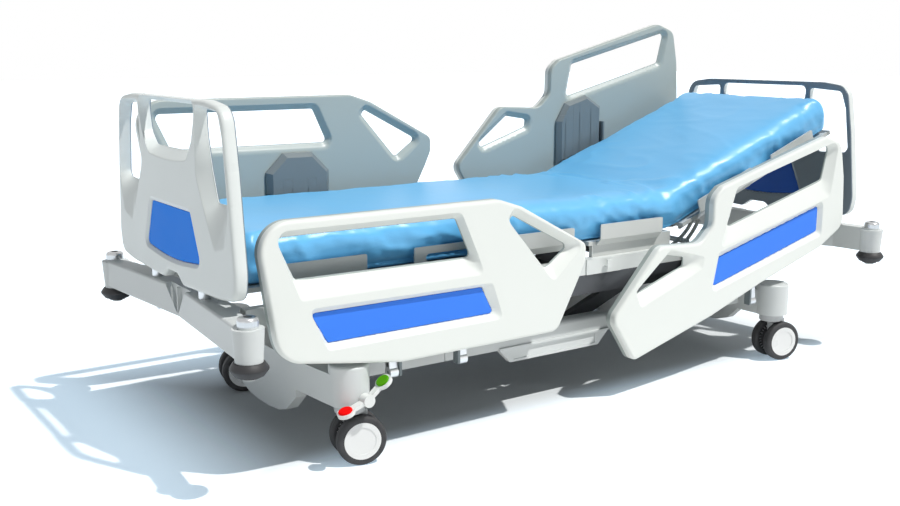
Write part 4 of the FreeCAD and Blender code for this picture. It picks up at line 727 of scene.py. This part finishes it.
def turned(name, x, y, rings, steps=48):
    angles = np.arange(steps) * 2 * math.pi / steps
    verts = [(x + r * math.cos(a), y + r * math.sin(a), z) for z, r in rings for a in angles]
    faces = []
    for row in range(len(rings) - 1):
        for k in range(steps):
            a, b = row * steps + k, row * steps + (k + 1) % steps
            faces.append((a, b, b + steps, a + steps))
    faces.append(tuple(range(steps))[::-1])
    faces.append(tuple(range((len(rings) - 1) * steps, len(rings) * steps)))
    mesh = bpy.data.meshes.new(name)
    mesh.from_pydata(verts, [], faces)
    mesh.shade_smooth()
    mesh.set_sharp_from_angle(angle=math.radians(35))
    return placed(name, mesh)


for end, sign in (("foot", -1), ("head", 1)):
    def outer_side(u, v, depth, sign=sign):
        return (sign * (BOARD_OUTER - depth), u, v)

    def inner_side(u, v, depth, sign=sign):
        return (sign * (BOARD_OUTER - BOARD_THICK + depth), u, v)
    name = end + "board"
    finish_piece(as_mesh(name + "_moulding", board_shell, outer_side), "board_white", name, name,
                 look="board_shells")
    # The outer panel takes the copy of the blue that is painted for its shade.
    finish_piece(as_mesh(name + "_panel_outer", panels[0], outer_side), "insert_blue", name,
                 name + "_insert", look="insert_shaded")
    # The inner panel carries a darker blue, which is painted shade.
    finish_piece(as_mesh(name + "_panel_inner", panels[1], inner_side), "insert_blue", name,
                 look="insert_painted_shade")
    for label, side in (("near", -1), ("far", 1)):
        stud = turned("%s_stud_%s" % (name, label), sign * STUD_X, side * STUD_Y, STUD_RINGS)
        finish_piece(stud, "arm_steel", name)
print("boards stand on their studs")

# %% [markdown]
# ## Bumper discs
# Under each corner post a black disc keeps the bed off the wall. It is turned from a short profile: a
# shoulder hidden by the post, the widest edge high up, and a small boss below.

# %% Turn the bumper discs
DISC_RINGS = [(0.2943, 0.0220), (0.2990, 0.0245), (0.3000, 0.0330), (0.3130, 0.0430), (0.3150, 0.0435),
              (0.3180, 0.0430), (0.3270, 0.0365), (0.3295, 0.0340)]
for end in ("foot", "head"):
    for side in ("near", "far"):
        node = "bumper_%s_%s" % (end, side)
        low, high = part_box(node)
        centre = [(a + b) / 2 for a, b in zip(low, high)]
        disc = turned(node + "_disc", centre[0], centre[1], DISC_RINGS)
        finish_piece(disc, "bumper_black", body_of(frame["nodes"][node])[0], node)
print("four discs")

# %% [markdown]
# ## Lips in the arm covers
# The arms swing through slots in each cover. Soft lips close those slots flush with the face and its
# bevel. A lip is the plain cover, drawn whole, of which only the strip inside one slot is kept.

# %% Close the slots with lips
ARM_STEP, LINK_STEP, PIVOT_LEVEL, LINK_RISE = 0.105, 0.040, 0.205, 0.040
LIP_HALF, LIP_RISE, LIP_BACK = 0.0147, 0.0137, 0.0035
COVER_BEVEL, COVER_FACE = 0.015, 0.338
cover_edges = {
    "foot": (foot_rail, 0.4715, [(-0.983, 0.413), (-0.447, 0.559), (0.4525, 0.557), (0.9886, 0.405),
                                 (0.9886, 0.045), (-0.983, 0.045)]),
    "head": (head_rail, 0.5395, [(-1.1435, 0.435), (-0.7733, 0.537), (0.1230, 0.580),
                                 (0.7758, 0.512), (0.7758, 0.280), (-1.1435, 0.180)])}


def whole_cover(spec, station, shares):
    x0, z0, length, height = spec["frame"]
    wide = np.array([(x0 + station + u * ARM_STEP, z0 + v * height) for u, v in shares])
    middle = wide.mean(0)
    small = middle + (wide - middle) * (1 - 2 * COVER_BEVEL / np.ptp(wide, axis=0))
    levels = ((wide, RAIL_INNER), (wide, COVER_FACE + COVER_BEVEL), (small, COVER_FACE))
    return [(x, y, z) for loop, y in levels for x, z in loop]


def cut_strip(work, corners, planes):
    solid = bmesh.new()
    bmesh.ops.convex_hull(solid, input=[solid.verts.new(corner) for corner in corners])
    for place, normal in planes:
        bmesh.ops.bisect_plane(solid, geom=solid.verts[:] + solid.edges[:] + solid.faces[:],
                               plane_co=place, plane_no=normal, clear_outer=True)
        bmesh.ops.holes_fill(solid, edges=[edge for edge in solid.edges if edge.is_boundary], sides=0)
    made = {vert: work.verts.new(vert.co) for vert in solid.verts}
    for face in solid.faces:
        work.faces.new([made[vert] for vert in face.verts])
    solid.free()


for end, (spec, station, shares) in cover_edges.items():
    corners = whole_cover(spec, station, shares)
    middle_x = spec["frame"][0] + station
    for side, sign, lift in (("near", -1, 0.0), ("far", 1, spec["drop"])):
        work = bmesh.new()
        for direction in (-1, 1):
            for reach, rise in ((ARM_STEP, 0.0), (LINK_STEP, LINK_RISE)):
                x = middle_x + direction * reach
                if min(corner[0] for corner in corners) < x < max(corner[0] for corner in corners):
                    top = PIVOT_LEVEL + rise + spec["drop"] / 2 + LIP_RISE
                    cut_strip(work, corners, (((x - LIP_HALF, 0, 0), (-1, 0, 0)),
                                              ((x + LIP_HALF, 0, 0), (1, 0, 0)),
                                              ((0, 0, top), (0, 0, 1)),
                                              ((0, RAIL_INNER - LIP_BACK, 0), (0, 1, 0))))
        for vert in work.verts:
            vert.co = (vert.co.x, sign * vert.co.y, vert.co.z + lift)
        bmesh.ops.recalc_face_normals(work, faces=work.faces)
        name = "cover_lips_%s_%s" % (end, side)
        mesh = bpy.data.meshes.new(name)
        work.to_mesh(mesh)
        work.free()
        finish_piece(placed(name, mesh), "cap_grey", "rail_%s_%s" % (end, side))
        print(name, len(mesh.polygons), "faces")

# %% [markdown]
# ## Toothed brake rings
# Inside each twin castor a ring of small bright teeth shows on both wheels: the brake of the castor
# catches in them. One tooth is repeated round a circle by Geometry Nodes, then turned into plain mesh.

# %% The tree that repeats a tooth
def named_inputs(tree, names):
    for name, kind in names:
        tree.interface.new_socket(name, in_out="INPUT", socket_type=kind)
    tree.interface.new_socket("Geometry", in_out="OUTPUT", socket_type="NodeSocketGeometry")
    return {item.name: item.identifier for item in tree.interface.items_tree}


def tooth_tree():
    tree = bpy.data.node_groups.new("tooth_ring", "GeometryNodeTree")
    sockets = named_inputs(tree, (("Teeth", "NodeSocketInt"), ("Radius", "NodeSocketFloat"),
                                  ("Size", "NodeSocketVector"), ("Paint", "NodeSocketMaterial")))

    def step(kind, links):
        made = tree.nodes.new(kind)
        for key, socket in links.items():
            tree.links.new(socket, made.inputs[key])
        return made
    given = step("NodeGroupInput", {}).outputs
    circle = step("GeometryNodeMeshCircle", {"Vertices": given["Teeth"], "Radius": given["Radius"]})
    tooth = step("GeometryNodeMeshCube", {"Size": given["Size"]})
    outward = step("GeometryNodeInputPosition", {}).outputs["Position"]
    turn = step("FunctionNodeAlignRotationToVector", {"Vector": outward})
    turn.axis = "X"
    ring = step("GeometryNodeInstanceOnPoints", {"Points": circle.outputs["Mesh"],
                                                 "Instance": tooth.outputs["Mesh"],
                                                 "Rotation": turn.outputs["Rotation"]})
    real = step("GeometryNodeRealizeInstances", {"Geometry": ring.outputs["Instances"]})
    painted = step("GeometryNodeSetMaterial", {"Geometry": real.outputs["Geometry"],
                                               "Material": given["Paint"]})
    step("NodeGroupOutput", {"Geometry": painted.outputs["Geometry"]})
    return tree, sockets


# %% Bake the rings and set them in the castors
def face_outwards(mesh):
    work = bmesh.new()
    work.from_mesh(mesh)
    bmesh.ops.recalc_face_normals(work, faces=work.faces)
    work.to_mesh(mesh)
    work.free()


CASTOR_SPOTS = {"foot": -0.808, "head": 0.757}
CASTOR_SIDE, CASTOR_TRAIL, CASTOR_YAW = 0.345, 0.020, math.radians(-13.4)
WHEEL_CENTRE, TOOTH_GAP, TOOTH_DEEP = 0.0625, 0.016, 0.0014
tree, sockets = tooth_tree()
holder = placed("tooth_holder", bpy.data.meshes.new("tooth_holder"))
maker = holder.modifiers.new("teeth", "NODES")
maker.node_group = tree
for key, value in (("Teeth", 30), ("Radius", 0.0455), ("Size", (0.0065, 0.0030, TOOTH_DEEP)),
                   ("Paint", finish["arm_steel"])):
    maker[sockets[key]] = value
grown = holder.evaluated_get(bpy.context.evaluated_depsgraph_get())
ring_mesh = bpy.data.meshes.new_from_object(grown)
holder.modifiers.remove(maker)
bpy.data.objects.remove(holder)
ring = np.array([tuple(v.co) for v in ring_mesh.vertices])
ring_faces = [tuple(face.vertices) for face in ring_mesh.polygons]
for end, x in CASTOR_SPOTS.items():
    for side, sign in (("near", -1), ("far", 1)):
        verts, faces = [], []
        for wheel in (-1, 1):
            faces += [tuple(i + len(verts) for i in face) for face in ring_faces]
            level = wheel * (TOOTH_GAP - TOOTH_DEEP / 2) + ring[:, 2]
            along = CASTOR_TRAIL + ring[:, 0]
            c, s = math.cos(CASTOR_YAW), math.sin(CASTOR_YAW)
            spun = np.stack([x + along * c - level * s, sign * CASTOR_SIDE + along * s + level * c,
                             WHEEL_CENTRE + ring[:, 1]], 1)
            verts += [tuple(v) for v in spun]
        tag = "%s_%s" % (end, side)
        teeth = placed("brake_teeth_" + tag, bpy.data.meshes.new("brake_teeth_" + tag))
        teeth.data.from_pydata(verts, [], faces)
        face_outwards(teeth.data)
        finish_piece(teeth, "arm_steel", body_of(frame["nodes"]["castor_tyres_" + tag])[0])
print("teeth", len(ring_faces), "faces a ring")

# %% [markdown]
# ## Mattress
# The mattress is one long foam block in a coated stretch cover, and the raised back bends it. It could
# be a subdivided box, but a loose cover folds along its edges and over the bend. So an even net is
# wrapped round the block, given a few slack folds, and then blown up by the cloth solver, which settles
# them. At last it is cut where nothing bends, so that each part can follow its own hinge.

# %% Size of the mattress
BEND_X, BEND_Z, BEND_REACH, BACK_TILT = 0.304, 0.574, 0.06, math.radians(20.0)
MATTRESS_START, MATTRESS_STOP = -1.058, 1.069
MATTRESS_LOW, MATTRESS_HIGH, MATTRESS_HALF = 0.4558, 0.5790, 0.318
EDGE_ROUND, NET_STEP, NET_RISE = 0.033, 0.0105, 0.0075


def lattice_box(counts):
    index, faces = {}, []

    def corner(i, j, k):
        return index.setdefault((i, j, k), len(index))
    for a, b, flat in ((0, 1, 2), (1, 2, 0), (2, 0, 1)):
        for level in (0, counts[flat]):
            for p in range(counts[a]):
                for q in range(counts[b]):
                    ring = []
                    for dp, dq in ((0, 0), (1, 0), (1, 1), (0, 1)):
                        place = [0, 0, 0]
                        place[a], place[b], place[flat] = p + dp, q + dq, level
                        ring.append(corner(*place))
                    faces.append(ring if level else ring[::-1])
    shares = np.array([key for key in index]) / np.array(counts)
    return shares, faces


def soft_block(shares):
    length = MATTRESS_STOP - MATTRESS_START
    height = MATTRESS_HIGH - MATTRESS_LOW
    size = np.array((length, 2.0, height))
    spot = (shares - 0.5) * size
    half = np.array((length / 2, MATTRESS_HALF, height / 2))
    spot[:, 1] *= half[1]
    core = np.clip(spot, -(half - EDGE_ROUND), half - EDGE_ROUND)
    out = spot - core
    reach = np.linalg.norm(out, axis=1)
    round_off = np.where(reach > 1e-9, EDGE_ROUND / np.maximum(reach, 1e-9), 0)
    surface = core + out * np.minimum(round_off, 1.0)[:, None]
    surface[:, 0] += (MATTRESS_START + MATTRESS_STOP) / 2
    surface[:, 2] += (MATTRESS_LOW + MATTRESS_HIGH) / 2
    return surface


# %% Draw the sides in and crown the top
def side_line(z):
    levels = [0.4558, 0.470, 0.500, 0.536, 0.560, 0.574]
    widths = [0.293, 0.302, 0.3115, 0.319, 0.318, 0.314]
    return np.interp(z, levels, widths) / MATTRESS_HALF


def crowned(spots):
    x, y, z = spots.T.copy()
    end_gap = np.minimum(x - MATTRESS_START, MATTRESS_STOP - x)
    pull = 0.006 * np.exp(-end_gap / 0.05)
    y = y * side_line(z) - np.sign(y) * pull
    lift = (z - MATTRESS_LOW) / (MATTRESS_HIGH - MATTRESS_LOW)
    z = z - lift * (0.007 * (np.abs(y) / 0.31) ** 3 + 0.5 * pull)
    return np.stack([x, y, z], 1)


# %% Slack folds in the cover
def wave(points, stretch, turn=0.0, offset=0.0):
    c, s = math.cos(turn), math.sin(turn)
    u = points[:, 0] * c + points[:, 2] * s
    w = -points[:, 0] * s + points[:, 2] * c
    places = np.stack([u * stretch[0], points[:, 1] * stretch[1] + offset, w * stretch[2]], 1)
    return np.array([noise.noise(Vector(p)) for p in places])


def ridge(values, sharp):
    return np.clip(1 - np.abs(values) * 2.2, 0, 1) ** sharp


def slack_folds(spots):
    x, y, z = spots.T
    height = (z - MATTRESS_LOW) / (MATTRESS_HIGH - MATTRESS_LOW)
    side = np.clip((np.abs(y) - 0.285) / 0.025, 0, 1)
    top = np.clip((height - 0.8) / 0.15, 0, 1) * (1 - side * 0.5)
    bend = np.exp(-((x - 0.20) / 0.22) ** 2)
    drape = wave(spots, (11.0, 2.0, 7.0), 0.9, 3.0)
    small = wave(spots, (26.0, 3.0, 12.0), 0.6, 9.0)
    outward = side * (0.0075 * ridge(drape, 2.0) + 0.0030 * ridge(small, 2.0) - 0.0050)
    outward *= 0.35 + 0.65 * np.sin(np.clip(height, 0, 1) * math.pi)
    rim = side * np.clip((height - 0.55) / 0.3, 0, 1)
    ripple = wave(spots, (19.0, 1.0, 2.0), 0.0, 5.0)
    across = wave(spots * np.array((1.0, 0.45, 1.0)), (7.0, 7.0, 1.0), 0.35, 1.0)
    fine = wave(spots * np.array((1.0, 0.4, 1.0)), (15.0, 15.0, 1.0), 0.5, 7.0)
    upward = top * (0.0032 * across + (0.001 + 0.0070 * bend) * (ridge(fine, 2.5) - 0.35))
    upward += rim * (0.0026 + 0.0032 * bend) * ripple
    moved = spots.copy()
    moved[:, 1] += np.sign(y) * outward * (1 + 0.5 * bend)
    moved[:, 2] += np.clip(upward, -0.007, 0.007)
    return moved


# %% Bend the block where the back rises
def bent(spots):
    turned = spots.copy()
    past = np.clip((spots[:, 0] - (BEND_X - BEND_REACH)) / (2 * BEND_REACH), 0, 1)
    angle = BACK_TILT * past * past * (3 - 2 * past)
    along = spots[:, 0] - BEND_X
    up = spots[:, 2] - BEND_Z
    turned[:, 0] = BEND_X + along * np.cos(angle) - up * np.sin(angle)
    turned[:, 2] = BEND_Z + along * np.sin(angle) + up * np.cos(angle)
    return turned


counts = (round((MATTRESS_STOP - MATTRESS_START) / NET_STEP), round(2 * MATTRESS_HALF / NET_STEP),
          round((MATTRESS_HIGH - MATTRESS_LOW) / NET_RISE))
shares, block_faces = lattice_box(counts)
straight = slack_folds(crowned(soft_block(shares)))
resting = bent(straight)
print("mattress net", len(resting), "points", len(block_faces), "faces")

# %% [markdown]
# The solver starts from that slack skin. Air pressure presses the cover outwards, a small negative
# shrink makes the cloth a little too large, and so it buckles into soft creases. The underside is held
# where it lies on the deck, and no point may travel further than a fingertip.

# %% Blow the cover up
def block_mesh(name, verts, faces):
    mesh = bpy.data.meshes.new(name)
    mesh.from_pydata([tuple(v) for v in verts], [], faces)
    mesh.update()
    return mesh


def settle_cover(verts, faces, frames=16, pressure=4.0, reach=0.009):
    trial = placed("cover_trial", block_mesh("cover_trial", verts, faces))
    face_outwards(trial.data)
    held = trial.vertex_groups.new(name="held")
    low = [i for i, share in enumerate(shares) if share[2] < 0.05]
    held.add(low, 1.0, "REPLACE")
    cloth = trial.modifiers.new("cover", "CLOTH")
    cloth.settings.quality = 4
    cloth.settings.mass = 0.25
    cloth.settings.tension_stiffness = 12.0
    cloth.settings.compression_stiffness = 12.0
    cloth.settings.shear_stiffness = 5.0
    cloth.settings.bending_stiffness = 0.25
    cloth.settings.use_pressure = True
    cloth.settings.uniform_pressure_force = pressure
    cloth.settings.shrink_min = -0.018
    cloth.settings.vertex_group_mass = "held"
    cloth.settings.effector_weights.gravity = 0.0
    cloth.point_cache.frame_start = 1
    cloth.point_cache.frame_end = frames
    for step in range(1, frames + 1):
        scene.frame_set(step)
    solved = trial.evaluated_get(bpy.context.evaluated_depsgraph_get())
    moved = np.array([tuple(v.co) for v in solved.data.vertices])
    scene.frame_set(1)
    bpy.data.objects.remove(trial)
    travel = moved - verts
    length = np.linalg.norm(travel, axis=1)
    print("cover moved up to %.1f mm, mean %.1f" % (length.max() * 1000, length.mean() * 1000))
    return verts + travel * np.minimum(1, reach / np.maximum(length, 1e-9))[:, None]


resting = settle_cover(resting, block_faces)

# %% Keep the cover inside its space, then cut it
LOWEST, HIGHEST = MATTRESS_LOW - 0.0003, 0.5835
RETAINER_TOP, LOW_HALF, HIGH_HALF = 0.507, 0.3145, 0.3290
CUT_LEGS, CUT_BACK = -0.20, 0.14
is_level = straight[:, 0] < BEND_X - BEND_REACH
resting[:, 2] = np.where(is_level, np.clip(resting[:, 2], LOWEST, HIGHEST), resting[:, 2])
limit = np.where(straight[:, 2] < RETAINER_TOP, LOW_HALF, HIGH_HALF)
resting[:, 1] = np.clip(resting[:, 1], -limit, limit)
whole = block_mesh("cover_whole", resting, block_faces)
cover_normals = np.array([tuple(v.normal) for v in whole.vertices])
bpy.data.meshes.remove(whole)
columns = np.array([shares[face, 0].mean() for face in block_faces])
column_x = MATTRESS_START + columns * (MATTRESS_STOP - MATTRESS_START)


def mattress_part(name, low, high):
    chosen = [face for face, x in zip(block_faces, column_x) if low <= x < high]
    work = bmesh.new()
    made = {}
    for face in chosen:
        for i in face:
            if i not in made:
                made[i] = work.verts.new(resting[i])
        work.faces.new([made[i] for i in face])
    old_index = list(made)
    open_edges = [edge for edge in work.edges if edge.is_boundary]
    if open_edges:
        bmesh.ops.holes_fill(work, edges=open_edges, sides=0)
    bmesh.ops.recalc_face_normals(work, faces=work.faces)
    mesh = bpy.data.meshes.new(name)
    work.to_mesh(mesh)
    work.free()
    mesh.shade_smooth()
    normals = []
    for face in mesh.polygons:
        cap = len(face.vertices) > 4
        for vertex in face.vertices:
            normals.append(tuple(face.normal) if cap else tuple(cover_normals[old_index[vertex]]))
    mesh.normals_split_custom_set(normals)
    piece = placed(name, mesh)
    piece.data.materials.append(finish["mattress_blue"])
    print(name, len(mesh.polygons), "faces")
    return piece


leg_part = mattress_part("mattress_legs", -2.0, CUT_LEGS)
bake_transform(leg_part, "thigh", "calf", start=(-0.33, 0, 0.5), end=(-0.42, 0, 0.5))
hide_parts("mattress_calf", "mattress_thigh")
seat_part = mattress_part("mattress_middle", CUT_LEGS, CUT_BACK)
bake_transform(seat_part, "bed_frame", "thigh", start=(0.03, 0, 0.5), end=(-0.07, 0, 0.5))
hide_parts("mattress_seat")
back_part = mattress_part("mattress_raised", CUT_BACK, 2.0)
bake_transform(back_part, "bed_frame", "backrest", start=(0.22, 0, 0.55), end=(0.40, 0, 0.58))
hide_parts("mattress_back")

# %% [markdown]
# ## Floor and sky
# A plain pale floor catches the soft shadow.
# Rays that come from the camera, or from a mirror-like or clear surface, see a white surround, while
# the light that falls on the bed stays at its own level. For those rays the floor also carries painted
# light and shade: near the bed its colour is darker, a painted shadow, and further away it emits a pale
# blue, a painted light that makes the shadow open up there.

# %% Paint and lay the floor, then light the sky
def looked_at(paint):
    def asked(output):
        return paint.node("ShaderNodeLightPath", None, None, output)
    return asked("Is Camera Ray") + asked("Is Glossy Ray") + asked("Is Transmission Ray")


floor_paint = Paint("floor_pale")
seen = looked_at(floor_paint)


def beyond(axis, start, stop):
    return floor_paint.node("ShaderNodeMapRange", {"interpolation_type": "SMOOTHSTEP"},
                            {"Value": floor_paint.along(axis), "From Min": start, "From Max": stop})


def either(first, second):
    return floor_paint.sum("MAXIMUM", first, second)


# Mask that is 0 under and beside the bed and 1 further away; it parts the painted shadow from the painted
# light.
painted_shade_to_light_mask = either(either(beyond(0, -0.84, -1.27), beyond(0, 0.90, 1.40)),
                    either(beyond(1, -0.20, -0.45), beyond(1, 0.32, 0.90)))
# Painted light: camera rays see the open floor emit a pale blue.
painted_light_emission = floor_paint.blend(painted_shade_to_light_mask * seen, (0.0, 0.0, 0.0, 1.0), (0.39, 0.51, 0.61, 1.0))
# Painted shadow: camera rays see the floor darker near the bed.
shaded = floor_paint.blend(painted_shade_to_light_mask, (0.66, 0.69, 0.71, 1.0), (0.98, 0.99, 1.0, 1.0))
pale = floor_paint.blend(seen, (0.95, 0.955, 0.95, 1.0), shaded)
floor_paint.shader.inputs["Emission Strength"].default_value = 1.0
floor_paint.set(Base_Color=pale, Roughness=0.85, Emission_Color=painted_light_emission)
half = 30.0
floor_mesh = bpy.data.meshes.new("floor")
floor_mesh.from_pydata([(-half, -half, 0), (half, -half, 0), (half, half, 0), (-half, half, 0)], [],
                       [(0, 1, 2, 3)])
floor_mesh.materials.append(floor_paint.material)
floor = placed("floor", floor_mesh)
scene.world = bpy.data.worlds.new("sky")
sky = Paint("sky", scene.world, "Background")
sky.shader.inputs["Strength"].default_value = 1.0
sky.set(Color=sky.blend(looked_at(sky), (0.105, 0.125, 0.145, 1.0), (1.0, 1.0, 1.0, 1.0)))
print("floor", half * 2, "m across")
